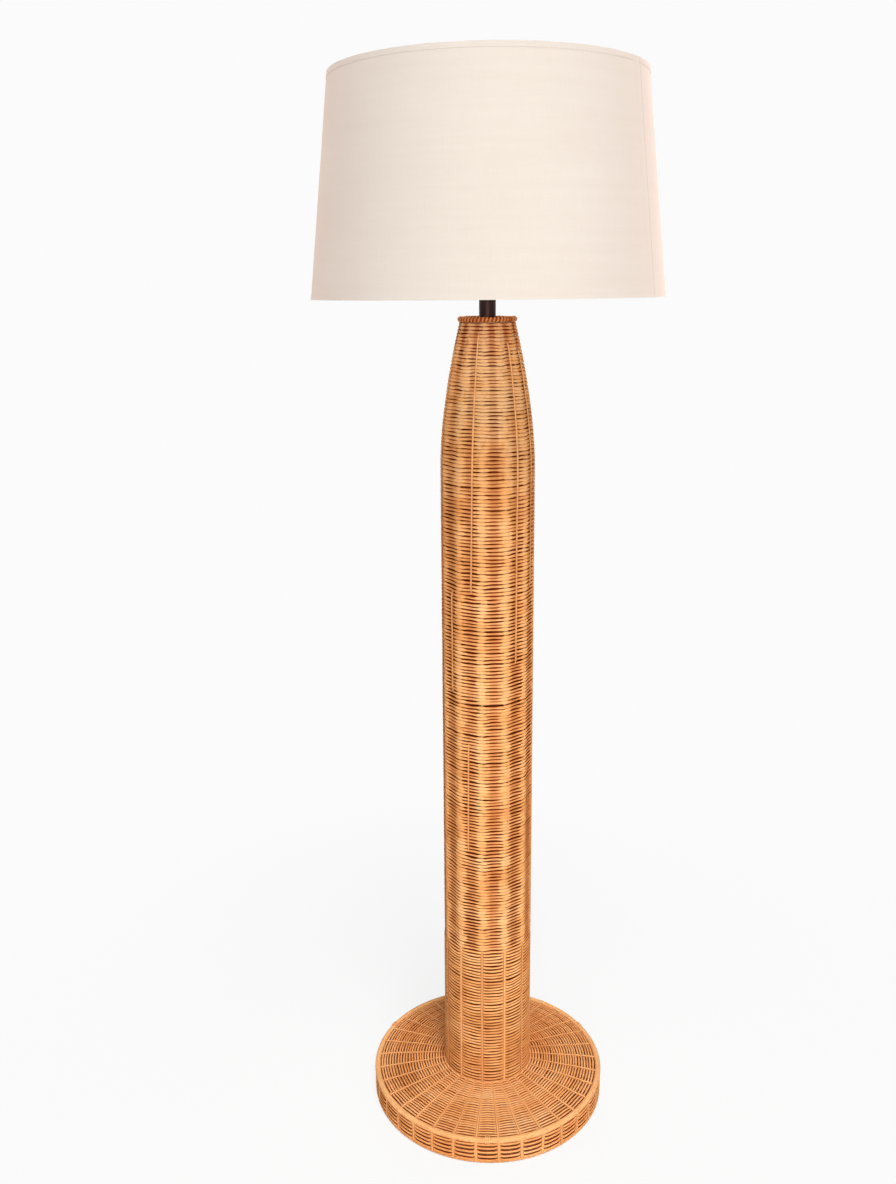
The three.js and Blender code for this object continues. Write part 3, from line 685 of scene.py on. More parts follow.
class Bundle:
    """Strands of oval section, gathered into one mesh"""

    def __init__(self):
        self.points, self.faces, self.uvs = [], [], []
        self.tint, self.shade_and_stain = [], []
        self.count = 0

    def lay(self, path, outward, half_deep, half_wide, closed=False, facets=8, tint=0.5,
            shade_and_stain=0.0, fullness=1.0, flank=0.0):
        """Lays one strand along path. outward is the way its thin side faces, a fullness under 1
        squares its section off, and flank is painted shade on the sides that face its neighbours."""
        n = len(path)
        if closed:
            along = np.roll(path, -1, 0) - np.roll(path, 1, 0)
        else:
            along = np.gradient(path, axis=0)
        across = unit(np.cross(outward, unit(along)))
        outward = unit(np.cross(unit(along), across))
        angle = ring(facets, math.pi)
        out, side = [np.sign(v) * np.abs(v) ** fullness for v in (np.cos(angle), np.sin(angle))]
        deep = np.broadcast_to(half_deep, n)[:, None] * out
        wide = np.broadcast_to(half_wide, n)[:, None] * side
        rings = path[:, None] + outward[:, None] * deep[..., None] + across[:, None] * wide[..., None]
        self.points.append(rings.reshape(-1, 3))

        spans = n if closed else n - 1
        i, k = np.meshgrid(np.arange(spans), np.arange(facets), indexing="ij")
        j, m = (i + 1) % n, (k + 1) % facets
        quads = np.stack((i * facets + k, j * facets + k, j * facets + m, i * facets + m), axis=-1)
        self.faces.extend((quads.reshape(-1, 4) + self.count).tolist())
        steps = np.linalg.norm(np.diff(path, axis=0, append=path[:1]), axis=1)
        length = np.concatenate(([0], np.cumsum(steps)))
        low, high = length[i], length[i + 1]
        side, next_side = k / facets, (k + 1) / facets
        corners = ((low, side), (high, side), (high, next_side), (low, next_side))
        self.uvs.append(np.stack([np.stack(c, axis=-1) for c in corners], axis=2).reshape(-1, 2))
        if not closed:
            first = list(range(self.count, self.count + facets))
            last = [self.count + (n - 1) * facets + f for f in range(facets)]
            self.faces += [first, last[::-1]]
            self.uvs.append(np.zeros((2 * facets, 2)))
        self.tint.append(np.repeat(np.broadcast_to(tint, n), facets))
        # Painted shade on the flanks that face the neighbours, and some on the inner face
        around = np.clip(np.sin(angle) ** 2 - INNER_PAINTED_SHADE * np.cos(angle), 0, 1)
        painted_flank_shade = np.broadcast_to(flank, n)[:, None] * around
        self.shade_and_stain.append((np.broadcast_to(shade_and_stain, n)[:, None] + painted_flank_shade).ravel())
        self.count += n * facets

    def finish(self, name, slot="rattan_weave", replaces=None):
        mesh = bpy.data.meshes.new(name)
        mesh.from_pydata(np.concatenate(self.points), [], self.faces)
        layer = mesh.uv_layers.new(name="along")
        layer.data.foreach_set("uv", np.concatenate(self.uvs).ravel())
        for label, values in (("tint", self.tint), ("shade_and_stain", self.shade_and_stain)):
            data = mesh.attributes.new(label, "FLOAT", "POINT").data
            data.foreach_set("value", np.concatenate(values).astype(np.float32))
        mesh.polygons.foreach_set("use_smooth", [True] * len(mesh.polygons))
        piece = bpy.data.objects.new(name, mesh)
        bpy.context.collection.objects.link(piece)
        settle(piece, "stand", slot, replaces)


def settle(piece, body, slot, replaces=None):
    """Gives a piece its finish, hangs it on its body, and hides the solid it stands for"""
    piece.data.materials.append(FINISHES[slot])
    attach(piece, body)
    if replaces:
        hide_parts(replaces)


# Woven column


def column_radius(z):
    """The column's outer radius: straight to the shoulder, then drawn in to the neck"""
    low = np.clip((z - column_foot_z) / (shoulder_z - column_foot_z), 0, 1)
    high = np.clip((z - shoulder_z) / (column_top_z - shoulder_z), 0, 1)
    straight = FOOT_RADIUS + (SHOULDER_RADIUS - FOOT_RADIUS) * low
    return straight - (SHOULDER_RADIUS - NECK_RADIUS) * high**SHOULDER_POWER


def main_angle(stake):
    """The twelve main stakes: every second one, from just left of the front's middle"""
    return COLUMN_TURN + TURN * (2 * stake + 1) / COLUMN_STAKES


def row_levels(bottom, top):
    """The heights of the rows, which lie closer together towards the neck"""
    levels = [bottom]
    while levels[-1] < top:
        squeeze = NECK_SQUEEZE * risen(levels[-1], *SQUEEZE_RISE)
        levels.append(levels[-1] + ROW_PITCH - squeeze)
    levels = np.array(levels)
    return bottom + (levels - bottom) * (top - bottom) / (levels[-1] - bottom)


def parting(angle, level):
    """How far the column's gaps push a row away: their neighbours press together"""
    push = 0
    for middle, height, opening, width in COLUMN_GAPS:
        away = np.mod(angle - math.radians(middle) + math.pi, TURN) - math.pi
        rows = (level - height) / ROW_PITCH
        near = math.tanh(GAP_SHARPNESS * rows) * math.exp(-abs(rows) / GAP_ROWS)
        push = push + opening * np.exp(-((away / math.radians(width)) ** 2)) * near
    return push


def weave_column():
    """Under BAND_FOOT the rows pass behind the main stakes, and higher up they pass over them"""
    bend = Uneven(seed=11, around=9, spacing=0.05)
    ripple = Uneven(seed=12, around=26, spacing=0.009)
    plump = Uneven(seed=13, around=40, spacing=0.005)
    wander = Uneven(seed=17, around=30, spacing=0.006)
    slack = Uneven(seed=14, around=14, spacing=0.05)
    patchy = Uneven(seed=15, around=14, spacing=0.022)
    chance = np.random.default_rng(16)
    levels = row_levels(weave_foot_z + FIRST_ROW_RISE, column_top_z - LAST_ROW_DROP)
    rows = len(levels)
    pitch = np.gradient(levels)
    angle = ring(COLUMN_SAMPLES, COLUMN_TURN)
    bays = COLUMN_STAKES // 2
    phase = (angle - COLUMN_TURN) * bays
    out = np.clip(-SWING_SHIFT - SWING_SHARPNESS * np.cos(phase), -1, 1)
    behind = dip(angle, main_angle(0), bays, FOOT_DIP)
    fills = np.array(BAY_FILLS)[np.round(phase / TURN).astype(int) % bays]
    strand_tints = chance.uniform(*STRAND_TINTS, rows)
    joint_angles = chance.uniform(0, TURN, rows)
    places = ("foot", "low", "high", "neck")
    parts = len(places)
    for part, place in enumerate(places):
        bundle = Bundle()
        for row in range(rows * part // parts, rows * (part + 1) // parts):
            level = levels[row]
            above = risen(level, BAND_FOOT - ROWS_CROSS / 2, ROWS_CROSS)
            high = risen(level, *NECK_RISE)

            # Where the row lies
            calm = min(1, (levels[-1] - level) / CALM_END, (level - levels[0]) / CALM_END)
            shift = ROW_BEND * bend.at(angle, level) + ROW_RIPPLE * ripple.at(angle, level)
            height = level + (shift + chance.normal(0, ROW_JITTER)) * calm + parting(angle, level)
            depth = SWING * (1 - out) * above + 2 * STAKE_HALF_DEEP * behind * (1 - above)
            loose = LOOSE_SWAY * slack.at(angle, level) + chance.normal(0, LOOSE_JITTER)
            radius = column_radius(height) - STRAND_HALF_DEEP - depth + loose * (depth > LOOSE_DEPTH)
            height = height + ROW_TILT * (TILT_DEPTH - depth) * (1 - high)

            # How tall it is
            sway = BAY_FILL_SWAY * slack.at(angle + BAY_FILL_TURN, level)
            fill = (fills + sway) * above + FOOT_FILL * (1 - above)
            fill = fill + (UPPER_FILL - fill) * risen(level, *UPPER_FILL_RISE)
            stray = (BAND_STRAY + BAND_STRAY_NECK * high) * wander.at(angle, level)
            band = np.clip(-BAND_SHARPNESS * np.cos(phase + stray) - BAND_NARROWING, 0, 1)
            closed = band * above + FOOT_CLOSED * behind * (1 - above)
            tall = 0.5 * pitch[row] * (fill + (CLOSED_FILL - fill) * closed)
            swell = ROW_PLUMP * (1 - closed) * plump.at(angle, level)
            tall = tall * (1 + swell + chance.normal(0, ROW_SIZE_JITTER))

            # Its colour, which changes where one strand ends and the next begins
            ended = np.mod(angle - joint_angles[row // ROWS_PER_STRAND], TURN) > TURN / 2
            old = strand_tints[row // ROWS_PER_STRAND]
            new = strand_tints[(row + ROWS_PER_STRAND - 1) // ROWS_PER_STRAND]
            tint = np.where(ended, old, new) + chance.uniform(*ROW_TINTS)
            tint = tint + PATCH_TINT * patchy.at(angle, level) + CLOSED_TINT * closed
            # Painted shade: the rows darker and redder towards the column's sides
            tint = tint + NECK_TINT * high - SIDE_PAINTED_SHADE * np.cos(angle) ** 2
            # Painted shade where the rows swing inwards and pass behind the foot's stakes, and the
            # lampshade's painted shadow on the neck
            shade_and_stain = BAY_PAINTED_SHADE * np.clip(-out, 0, 1) * above + FOOT_PAINTED_SHADE * behind * (1 - above)
            shade_and_stain = shade_and_stain + LAMPSHADE_PAINTED_SHADOW * risen(level, *LAMPSHADE_SHADOW_RISE)
            # Painted shade on the strands' flanks, less at the neck and where the rows close up
            flank = (1 - NECK_FLANK * high) * (1 - CLOSED_FLANK * closed)
            bundle.lay(polar(radius, angle, height), polar(1, angle, 0), STRAND_HALF_DEEP, tall,
                       closed=True, tint=np.clip(tint, 0, LIGHTEST), shade_and_stain=shade_and_stain,
                       fullness=ROW_FULLNESS, flank=flank)
        bundle.finish("column_weave_" + place, replaces="column_weave")


def shaved(half_wide, radius):
    """A column stake's half width, less where the column is drawn in"""
    return half_wide * np.clip(radius / FOOT_RADIUS + STAKE_SHAVING, 0, 1)


def plant_column_stakes():
    """Twelve main stakes from foot to neck, and short stakes that lie over the rows"""
    sway = Uneven(seed=21, around=COLUMN_STAKES, spacing=0.11)
    chance = np.random.default_rng(22)
    bundle = Bundle()
    for stake in range(COLUMN_STAKES // 2):
        height = np.linspace(column_foot_z, column_top_z, STAKE_SAMPLES)
        bare = np.full_like(height, main_angle(stake))
        lean = bare + STAKE_SWAY * sway.at(bare, height)
        behind = risen(height, BAND_FOOT - STAKES_CROSS / 2, STAKES_CROSS)
        radius = column_radius(height) - STAKE_HALF_DEEP - 2 * STRAND_HALF_DEEP * behind
        wide = shaved(MAIN_HALF_WIDE, radius) * (1 + MAIN_PLUMP * sway.at(lean, height / 2))
        bundle.lay(polar(radius, lean, height), polar(1, lean, 0), STAKE_HALF_DEEP, wide,
                   tint=chance.uniform(0, 0.7), shade_and_stain=chance.uniform(0.1, 0.35), flank=0.5)
    bundle.finish("column_main_stakes", "rattan_stakes", "column_stakes")

    bundle = Bundle()
    for foot, head, low, high in SHORT_STAKES:
        height = np.linspace(low, high, max(SHORT_FEWEST, round((high - low) / SHORT_STEP)))
        lean = np.radians(foot + (head - foot) * (height - low) / (high - low))
        lean = lean + STAKE_SWAY * sway.at(lean, height)
        tuck = np.clip(1 - np.minimum(height - low, high - height) / TUCK_LENGTH, 0, 1)
        radius = column_radius(height) - 2 * SWING + SHORT_PROUD - TUCK_DEPTH * tuck
        wide = shaved(SHORT_HALF_WIDE * (1 - TUCK_NARROWING * tuck), radius)
        wide = wide * (1 + SHORT_PLUMP * sway.at(lean, height / 3))
        shade_and_stain = SHORT_SHELTER + (CLEAR_SHELTER - SHORT_SHELTER) * risen(height, *CLEAR_RISE)
        bundle.lay(polar(radius, lean, height), polar(1, lean, 0), STAKE_HALF_DEEP * (1 - tuck / 2),
                   wide, tint=chance.uniform(0.3, 0.7), shade_and_stain=shade_and_stain, flank=0.35)
    bundle.finish("column_short_stakes", "rattan_stakes")


def roll_neck_border():
    """One strand wound round and round the last row, unevenly, over a core that is painted dark
    for the shade inside the winding
    """
    uneven = Uneven(seed=25, around=29, spacing=0.05)
    ring_radius = NECK_RADIUS - BORDER_INSET
    middle = neck_top_z - BORDER_DROP
    angle = ring(BORDER_SAMPLES)
    spin = BORDER_WRAPS * (angle + BORDER_SLIP * uneven.track(0, angle))
    away = BORDER_REACH * (1 + BORDER_PLUMP * uneven.track(1, angle))
    bundle = Bundle()
    bundle.lay(*wound(ring_radius, middle, away, angle, spin), BORDER_HALF_DEEP, BORDER_HALF_WIDE,
               closed=True, tint=0.45 + 0.4 * uneven.track(2, angle),
               shade_and_stain=0.35 + 0.25 * uneven.track(3, angle), flank=0.7)
    # The core, painted dark for the shade inside the winding
    bundle.lay(polar(ring_radius, angle, middle), polar(1, angle, 0), BORDER_CORE, BORDER_CORE,
               closed=True, tint=0.2, shade_and_stain=0.9)
    bundle.finish("neck_border_winding", replaces="neck_border")


# Woven base

rim_ring_radius = BASE_RADIUS - RIM_RADIUS
rim_z = RIM_TOP - RIM_RADIUS
wall_radius = BASE_RADIUS - WALL_INSET
rope_z = ROPE_HALF_THICK + ROPE_OFFSET + ROPE_LIFT
shown_stakes = BASE_STAKES // 2
shown_turn = BASE_TURN + TURN / BASE_STAKES
top_inner = column_radius(RIM_TOP) + TOP_INNER_GAP
top_outer = rim_ring_radius - RIM_RADIUS - TOP_OUTER_GAP


def base_top_height(radius):
    """The woven top: a shallow cone that dips just inside the rim"""
    share = np.clip((radius - top_inner) / (top_outer - top_inner), 0, 1)
    return TOP_EDGE + TOP_RISE * (1 - share) - TOP_SAG * share**TOP_SAG_POWER


def weave_base_top():
    """Rows side by side from the rim to the column, dipping under every second spoke"""
    bend = Uneven(seed=32, around=11, spacing=0.03)
    ripple = Uneven(seed=31, around=33, spacing=0.012)
    plump = Uneven(seed=33, around=60, spacing=0.006)
    patchy = Uneven(seed=34, around=16, spacing=0.02)
    chance = np.random.default_rng(35)
    outer = top_outer - TOP_HALF_WIDE
    inner = top_inner + TOP_HALF_WIDE
    rows = round((outer - inner) / TOP_PITCH) + 1
    angle = ring(TOP_SAMPLES, BASE_TURN)
    front, beside = -np.sin(angle), np.cos(angle) ** 2
    bundle = Bundle()
    for row in range(rows):
        flat = outer - (outer - inner) * row / (rows - 1)
        calm = min(1, (flat - inner) / TOP_CALM_EDGE, (outer - flat) / TOP_CALM_EDGE)
        shift = TOP_BEND * bend.at(angle, flat) + TOP_RIPPLE * ripple.at(angle, flat)
        radius = flat + calm * (shift + chance.normal(0, TOP_JITTER))
        under = dip(angle, shown_turn, shown_stakes, UNDER_SPOKE / flat * (1 + flat / top_outer) / 2)
        over = dip(angle, BASE_TURN, shown_stakes, OVER_SPOKE / flat)
        depth = 2 * SPOKE_HALF_DEEP * under + TOP_SWING * (1 - over) * (1 - under)
        height = base_top_height(flat) - TOP_HALF_DEEP - depth
        wide = TOP_HALF_WIDE * (OPEN_WIDTH + UNDER_WIDENING * under + OVER_WIDENING * over)
        wide = wide * (1 + BESIDE_WIDENING * beside + TOP_PLUMP * plump.at(angle, flat))
        # Painted light: the rows lighter at the front and darker at the back
        tint = chance.uniform(*TOP_TINTS) + PATCH_TINT * patchy.at(angle, flat) + PAINTED_FRONT_LIGHT * front
        # Painted shade on the flanks: more at the back and sides, less where a row dips under a spoke
        flank = TOP_FLANK - FRONT_LESS_PAINTED_SHADE * front + BESIDE_PAINTED_SHADE * beside - UNDER_FLANK * under
        # Painted shade where the rows dip under the spokes
        bundle.lay(polar(radius, angle, height), UP, TOP_HALF_DEEP, wide, closed=True,
                   tint=np.clip(tint, 0, TOP_LIGHTEST), shade_and_stain=UNDER_SPOKE_PAINTED_SHADE * under, flank=flank)
    bundle.finish("base_top_rows", replaces="base_top_weave")

    spokes = Bundle()
    sway = Uneven(seed=37, around=BASE_STAKES, spacing=0.05)
    for spoke in range(BASE_STAKES):
        shown = spoke % 2
        angle = BASE_TURN + TURN * spoke / BASE_STAKES
        reach = np.linspace(top_inner, top_outer + SPOKE_OVERHANG * shown, SPOKE_SAMPLES)
        lean = angle + SPOKE_SWAY * sway.at(np.full_like(reach, angle), reach)
        below = SPOKE_HALF_DEEP + (0 if shown else 2 * TOP_HALF_DEEP)
        height = base_top_height(reach) - below - SPOKE_SUNK
        share = (reach - top_inner) / (top_outer - top_inner)
        wide = SPOKE_HALF_WIDE * (1 if shown else HIDDEN_SPOKE_WIDTH)
        wide = wide * (INNER_SPOKE_WIDTH + (1 - INNER_SPOKE_WIDTH) * share)
        wide = wide * (1 + SPOKE_PLUMP * sway.at(lean + SPOKE_TURN, reach / 2))
        spokes.lay(polar(reach, lean, height), UP, SPOKE_HALF_DEEP, wide,
                   tint=chance.uniform(0, 0.5), shade_and_stain=0.2, flank=0.5)
    spokes.finish("base_top_spread", "rattan_stakes", "base_top_spokes")


def twist_foot_border():
    """A rope of two strands round the foot of the wall"""
    angle = ring(ROPE_SAMPLES)
    ring_radius = wall_radius - ROPE_HALF_THICK - ROPE_OFFSET
    bundle = Bundle()
    for strand in range(ROPE_STRANDS):
        spin = ROPE_TURNS * angle + TURN * strand / ROPE_STRANDS
        bundle.lay(*wound(ring_radius, rope_z, ROPE_OFFSET, angle, spin), ROPE_HALF_THICK,
                   ROPE_HALF_THICK, closed=True, shade_and_stain=0.25)
    bundle.finish("base_foot_border")


def weave_base_wall():
    """Rows round the wall, passing behind every second stake, and the stakes"""
    bend = Uneven(seed=41, around=16, spacing=0.012)
    plump = Uneven(seed=42, around=50, spacing=0.006)
    patchy = Uneven(seed=44, around=20, spacing=0.01)
    chance = np.random.default_rng(43)
    bottom = rope_z + ROPE_TO_ROW
    top = rim_z - RIM_RADIUS - WALL_TOP_GAP
    rows = round((top - bottom) / WALL_PITCH) + 1
    angle = ring(WALL_SAMPLES, BASE_TURN)
    behind = dip(angle, shown_turn, shown_stakes, BEHIND_POST)
    bundle = Bundle()
    for row in range(rows):
        level = bottom + (top - bottom) * row / (rows - 1)
        shift = WALL_BEND * bend.at(angle, level) + chance.normal(0, WALL_JITTER)
        height = level + shift + WALL_LIFT * (behind - 0.5)
        radius = wall_radius - WALL_HALF_DEEP - 2 * POST_HALF_DEEP * behind
        tall = WALL_HALF_TALL * (WALL_OPEN_HEIGHT + BEHIND_GROWTH * behind)
        tall = tall * (1 + WALL_PLUMP * plump.at(angle, level))
        tint = chance.uniform(*WALL_TINTS) + PATCH_TINT * patchy.at(angle, level)
        # Painted shade behind the posts and on the rows' flanks
        bundle.lay(polar(radius, angle, height), polar(1, angle, 0), WALL_HALF_DEEP, tall, closed=True,
                   tint=np.clip(tint, 0, 1), shade_and_stain=BEHIND_POST_PAINTED_SHADE * behind,
                   fullness=WALL_FULLNESS, flank=WALL_FLANK - BEHIND_FLANK * behind)
    bundle.finish("wall_rows", replaces="wall_weaver")

    posts = Bundle()
    for stake in range(BASE_STAKES):
        shown = stake % 2
        height = np.linspace(rope_z, rim_z - POST_TOP, POST_SAMPLES)
        lean = chance.normal(0, POST_LEAN) * np.linspace(-1, 1, POST_SAMPLES)
        lean = BASE_TURN + TURN * stake / BASE_STAKES + lean
        inward = POST_HALF_DEEP + (POST_SUNK if shown else 2 * WALL_HALF_DEEP)
        wide = POST_HALF_WIDE if shown else HIDDEN_POST_WIDE
        wide = wide * (1 + POST_PLUMP * np.sin(height * POST_WAVES + stake))
        posts.lay(polar(wall_radius - inward, lean, height), polar(1, lean, 0), POST_HALF_DEEP, wide,
                  tint=chance.uniform(0, 0.4), shade_and_stain=0.24, flank=0.3)
    posts.finish("wall_posts", "rattan_stakes", "wall_stakes")


def bend_rim():
    """One smooth cane round the top edge, with short lashings of three wraps each"""
    wobble = Uneven(seed=51, around=10, spacing=0.05)
    thick = Uneven(seed=52, around=17, spacing=0.05)
    angle = ring(RIM_SAMPLES)
    around = rim_ring_radius - RIM_WOBBLE + RIM_WOBBLE * wobble.track(0, angle)
    height = rim_z - RIM_DROP + RIM_WOBBLE * wobble.track(1, angle)
    radius = RIM_RADIUS * (1 - RIM_THINNING + RIM_THINNING * thick.track(0, angle))
    bundle = Bundle()
    bundle.lay(polar(around, angle, height), polar(1, angle, 0), radius, radius, closed=True,
               facets=RIM_FACETS, tint=0.6 + 0.3 * wobble.track(2, angle))
    bundle.finish("rim_cane", "rim_cane", "rim_pole")

    binding = Bundle()
    for middle in LASHING_ANGLES:
        for wrap in (-1, 0, 1):
            place = math.radians(middle) + wrap * LASHING_STEP / rim_ring_radius
            path, outward = wound(rim_ring_radius - RIM_WOBBLE, rim_z, RIM_RADIUS + LASHING_PROUD,
                                  place, ring(LASHING_SAMPLES))
            binding.lay(path, outward, LASHING_HALF_DEEP, LASHING_HALF_WIDE, closed=True,
                        facets=LASHING_FACETS, tint=0.8)
    binding.finish("rim_lashings", "rim_cane")


# Shade


def shade_radius(z):
    slope = (SHADE_BOTTOM_RADIUS - SHADE_TOP_RADIUS) / SHADE_HEIGHT
    return SHADE_BOTTOM_RADIUS - (z - shade_bottom_z) * slope


def shape_cloth(cloth, place, size, thickness):
    """Lays a new primitive's points where place says, its UV map out in metres, and gives it
    its thickness on the inside"""
    mesh = cloth.data
    points = np.empty(len(mesh.vertices) * 3)
    mesh.vertices.foreach_get("co", points)
    mesh.vertices.foreach_set("co", place(*points.reshape(-1, 3).T).ravel())
    uv = mesh.uv_layers.active.data
    values = np.empty(len(uv) * 2)
    uv.foreach_get("uv", values)
    uv.foreach_set("uv", (values.reshape(-1, 2) * size).ravel())
    wall = cloth.modifiers.new("wall", "SOLIDIFY")
    wall.thickness = thickness
    wall.offset = -1
    bpy.ops.object.modifier_apply(modifier=wall.name)
    bpy.ops.object.shade_smooth_by_angle(angle=CLOTH_SMOOTHING)


def stretch_linen():
    """Linen rolled once round the rings, with its end lapped over its beginning at the seam"""
    bpy.ops.object.select_all(action="DESELECT")
    bpy.ops.mesh.primitive_grid_add(x_subdivisions=PANEL_COLUMNS, y_subdivisions=PANEL_ROWS, size=1)
    panel = bpy.context.object
    panel.name = "linen_panel"
    lap = SEAM_LAP / SHADE_BOTTOM_RADIUS
    ripple = Uneven(seed=61, around=26, spacing=0.07)

    def place(x, y, z):
        across, up = x + 0.5, y + 0.5
        angle = SEAM_ANGLE + across * (TURN + lap)
        height = shade_bottom_z + PANEL_MARGIN + up * (SHADE_HEIGHT - 2 * PANEL_MARGIN)
        lies_over = np.clip((angle - SEAM_ANGLE - TURN + SEAM_RAMP) / SEAM_RAMP, 0, 1)
        radius = shade_radius(height) - PANEL_INSET + SEAM_RISE * lies_over
        radius += PANEL_RIPPLE * ripple.at(angle, height) * np.sin(up * math.pi)
        return polar(radius, angle, height)

    shape_cloth(panel, place, (TURN * SHADE_BOTTOM_RADIUS, SHADE_HEIGHT), PANEL_THICKNESS)
    settle(panel, "shade", "linen", "shade_panel")


def fold_hem(name, low, replaces):
    """A narrow linen binding, folded over the shade's edge"""
    bpy.ops.object.select_all(action="DESELECT")
    bpy.ops.mesh.primitive_cylinder_add(vertices=HEM_COLUMNS, end_fill_type="NOTHING")
    hem = bpy.context.object
    hem.name = name
    ripple = Uneven(seed=62, around=60, spacing=0.01)

    def place(x, y, z):
        angle = np.arctan2(y, x)
        height = np.where(z > 0, low + HEM_HEIGHT, low)
        uneven = HEM_RIPPLE * ripple.at(angle, height) * (z > 0)
        return polar(shade_radius(height) - HEM_INSET, angle, height + uneven)

    shape_cloth(hem, place, (HEM_LENGTH, 2 * HEM_HEIGHT), HEM_THICKNESS)
    settle(hem, "shade", "linen", replaces)


# Stem, bulb, finial and fittings


def turned(name, outline, body, slot, replaces, closed=True):
    """A lathe-turned piece: a ring at the outline's first point, drawn on from point to point.
    A closed outline ends where it began, and any other runs from pole to pole."""
    bpy.ops.object.select_all(action="DESELECT")
    radius, height = outline[0]
    bpy.ops.mesh.primitive_circle_add(vertices=LATHE_SIDES, radius=radius, location=(0, 0, height))
    piece = bpy.context.object
    piece.name = name
    bpy.ops.object.transform_apply(location=True)
    bpy.ops.object.mode_set(mode="EDIT")
    bpy.ops.mesh.select_all(action="SELECT")
    for (old, low), (new, high) in zip(outline, outline[1:] + outline[:1] * closed):
        bpy.ops.mesh.extrude_region_move(TRANSFORM_OT_translate={"value": (0, 0, high - low)})
        if new != old:
            bpy.ops.transform.resize(value=(new / old, new / old, 1), center_override=(0, 0, high))
    bpy.ops.mesh.select_all(action="SELECT")
    bpy.ops.mesh.remove_doubles(threshold=WELD)
    bpy.ops.mesh.normals_make_consistent(inside=False)
    bpy.ops.object.mode_set(mode="OBJECT")
    bpy.ops.object.shade_smooth_by_angle(angle=LATHE_SMOOTHING)
    settle(piece, body, slot, replaces)


def turn_stem():
    """The round tube between neck and shade"""
    low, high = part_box("stem_tube")
    outer = high[0] + STEM_GROWTH
    inner = outer - STEM_WALL
    outline = [(inner, low[2]), (outer, low[2]), (outer, high[2]), (inner, high[2])]
    turned("stem_round", outline, "stand", "bronze", "stem_tube")


def blow_bulb():
    """A round globe that narrows to its neck, with a wall of even thickness"""
    low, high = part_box("bulb_glass")
    middle = high[2] - high[0]
    neck_z = low[2] + BULB_NECK_LENGTH

    def skin(radius):
        neck = BULB_NECK_RADIUS - (high[0] - radius)
        widening = radius * math.cos(BULB_WAIST) - neck
        rise = middle + radius * math.sin(BULB_WAIST) - neck_z
        points = [(neck, low[2])]
        for step in range(BULB_NECK_STEPS):
            share = step / BULB_NECK_STEPS
            points.append((neck + widening * share ** (rise / widening), neck_z + rise * share))
        for step in range(BULB_GLOBE_STEPS):
            angle = BULB_WAIST + (math.pi / 2 - BULB_WAIST) * step / BULB_GLOBE_STEPS
            points.append((radius * math.cos(angle), middle + radius * math.sin(angle)))
        return points + [(POLE, middle + radius)]

    outline = skin(high[0] - BULB_WALL)[::-1] + skin(high[0])
    turned("blown_globe", outline, "bulb", "opal_glass", "bulb_glass", closed=False)


def turn_finial():
    """A small urn with a blind hole for the harp's stud"""
    low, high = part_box("finial")
    radius, height = high[0], high[2] - low[2]
    outside = [(radius * across, low[2] + height * up) for across, up in FINIAL_OUTLINE]
    hole_z = low[2] + FINIAL_HOLE_DEPTH
    hole = [(POLE, hole_z), (FINIAL_HOLE_RADIUS, hole_z), (FINIAL_HOLE_RADIUS, low[2])]
    outline = hole + outside + [(POLE, high[2])]
    turned("turned_finial", outline, "finial", "bronze", "finial", closed=False)


def dress_fittings():
    """Gives each piece of the frame that stays its finish"""
    slots = {row["node"]: row["material_slot"] for row in frame["record"]["subparts"]}
    for name, node in frame["nodes"].items():
        node.data.materials.clear()
        node.data.materials.append(FINISHES[slots[name]])


# Floor and light


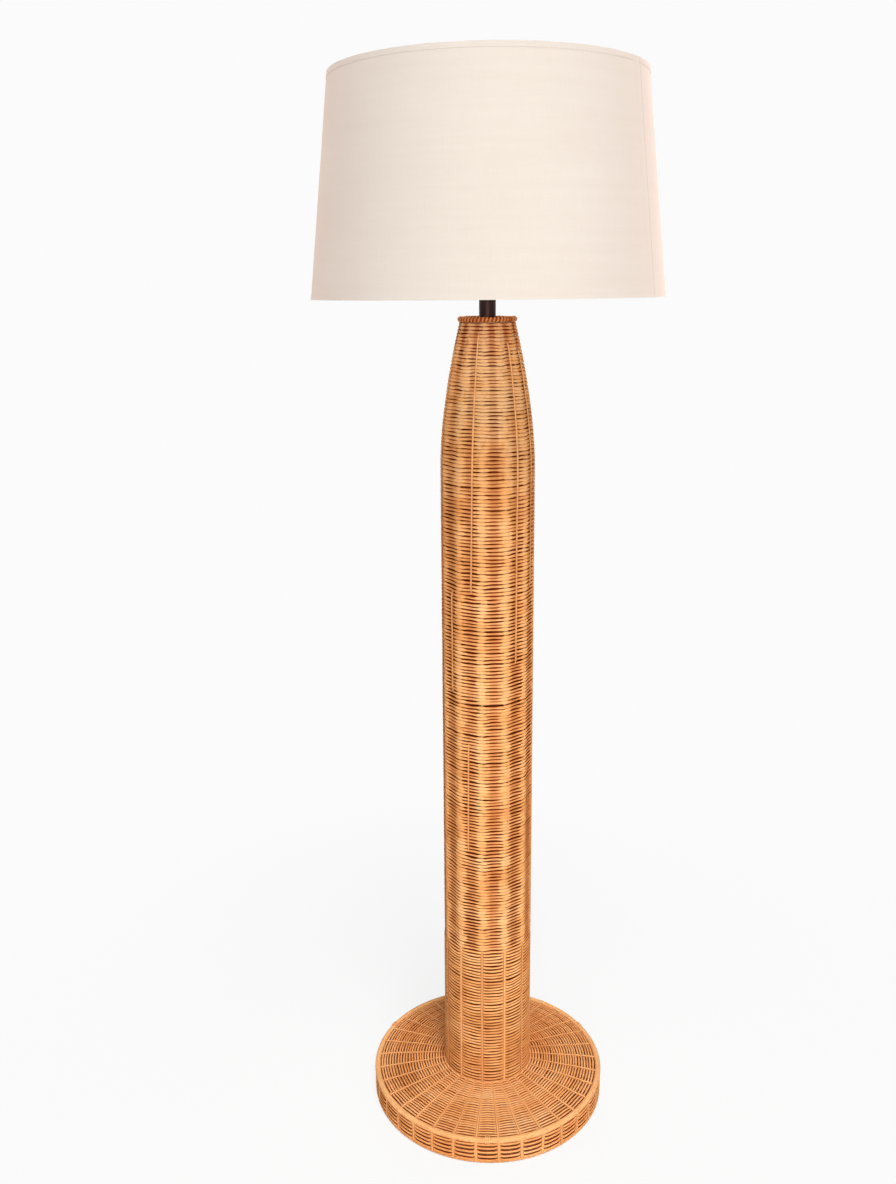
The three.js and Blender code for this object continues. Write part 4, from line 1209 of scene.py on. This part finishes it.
def lay_floor():
    """A pale floor that looks white, apart from the lamp's shadow, and doesn't glow under it"""
    bpy.ops.object.select_all(action="DESELECT")
    bpy.ops.mesh.primitive_plane_add(size=FLOOR_SIZE, location=(0, 0, -FLOOR_DROP))
    floor = bpy.context.object
    floor.name = "floor"
    made = Finish(roughness=0.9, specular=0.0)
    made.material.name = "floor"
    made.dial("Base Color", (*FLOOR_COLOR, 1))
    distance = made.add("VectorMath")
    distance.operation = "LENGTH"
    made.feed(distance, {0: made.place})
    away = distance.outputs["Value"]
    beside = made.span(away, BASE_FOOTPRINT)
    share = made.reckon("MULTIPLY", made.span(away, SHADOW_REACH, SHADOW_GLOW), beside)
    glow = made.add("Emission", Color=(WHITE, WHITE, WHITE, 1))
    blend = made.add("MixShader", Fac=made.reckon("MULTIPLY", made.backdrop_rays(), share))
    made.feed(blend, {1: made.shader.outputs["BSDF"], 2: glow.outputs["Emission"]})
    made.feed(made.nodes["Material Output"], {"Surface": blend.outputs["Shader"]})
    floor.data.materials.append(made.material)


def add_lamp(name, place, target, size, watts, spread=180):
    bpy.ops.object.light_add(type="AREA", location=place)
    lamp = bpy.context.object
    lamp.name = name
    lamp.data.shape = "RECTANGLE"
    lamp.data.size, lamp.data.size_y = size
    lamp.data.energy = watts
    lamp.data.spread = math.radians(spread)
    lamp.rotation_euler = (Vector(target) - Vector(place)).to_track_quat("-Z", "Y").to_euler()


def light_studio():
    """Soft panels in front and above, a faint one behind, and an even world"""
    world = bpy.data.worlds.new("studio")
    bpy.context.scene.world = world
    graph = Graph(world)
    strength = graph.span(graph.backdrop_rays(), (0.0, 1.0), (WORLD_LIGHT, WHITE))
    graph.feed(graph.nodes["Background"], {"Color": (1, 1, 1, 1), "Strength": strength})
    add_lamp("front_panel", (0.2, -5.5, 1.7), target=(0, 0, 0.8), size=(2.8, 2.0), watts=134)
    add_lamp("high_panel", (0.9, -3.0, 7.0), target=(0, 0, 0.4), size=(2.4, 2.4), watts=290)
    add_lamp("base_panel", (0.5, -2.0, 3.2), target=(0, -0.05, 0), size=(0.9, 0.9), watts=1.3, spread=40)
    add_lamp("back_panel", (-0.4, 4.5, 2.2), target=(0, 0, 1.45), size=(2.2, 2.2), watts=10, spread=60)


aim_camera()
dress_fittings()
weave_column()
plant_column_stakes()
roll_neck_border()
weave_base_top()
twist_foot_border()
weave_base_wall()
bend_rim()
stretch_linen()
fold_hem("linen_hem_bottom", shade_bottom_z, "shade_bottom_hem")
fold_hem("linen_hem_top", shade_top_z - HEM_HEIGHT, "shade_top_hem")
turn_stem()
blow_bulb()
turn_finial()
lay_floor()
light_studio()
bpy.context.scene.view_settings.view_transform = "Standard"
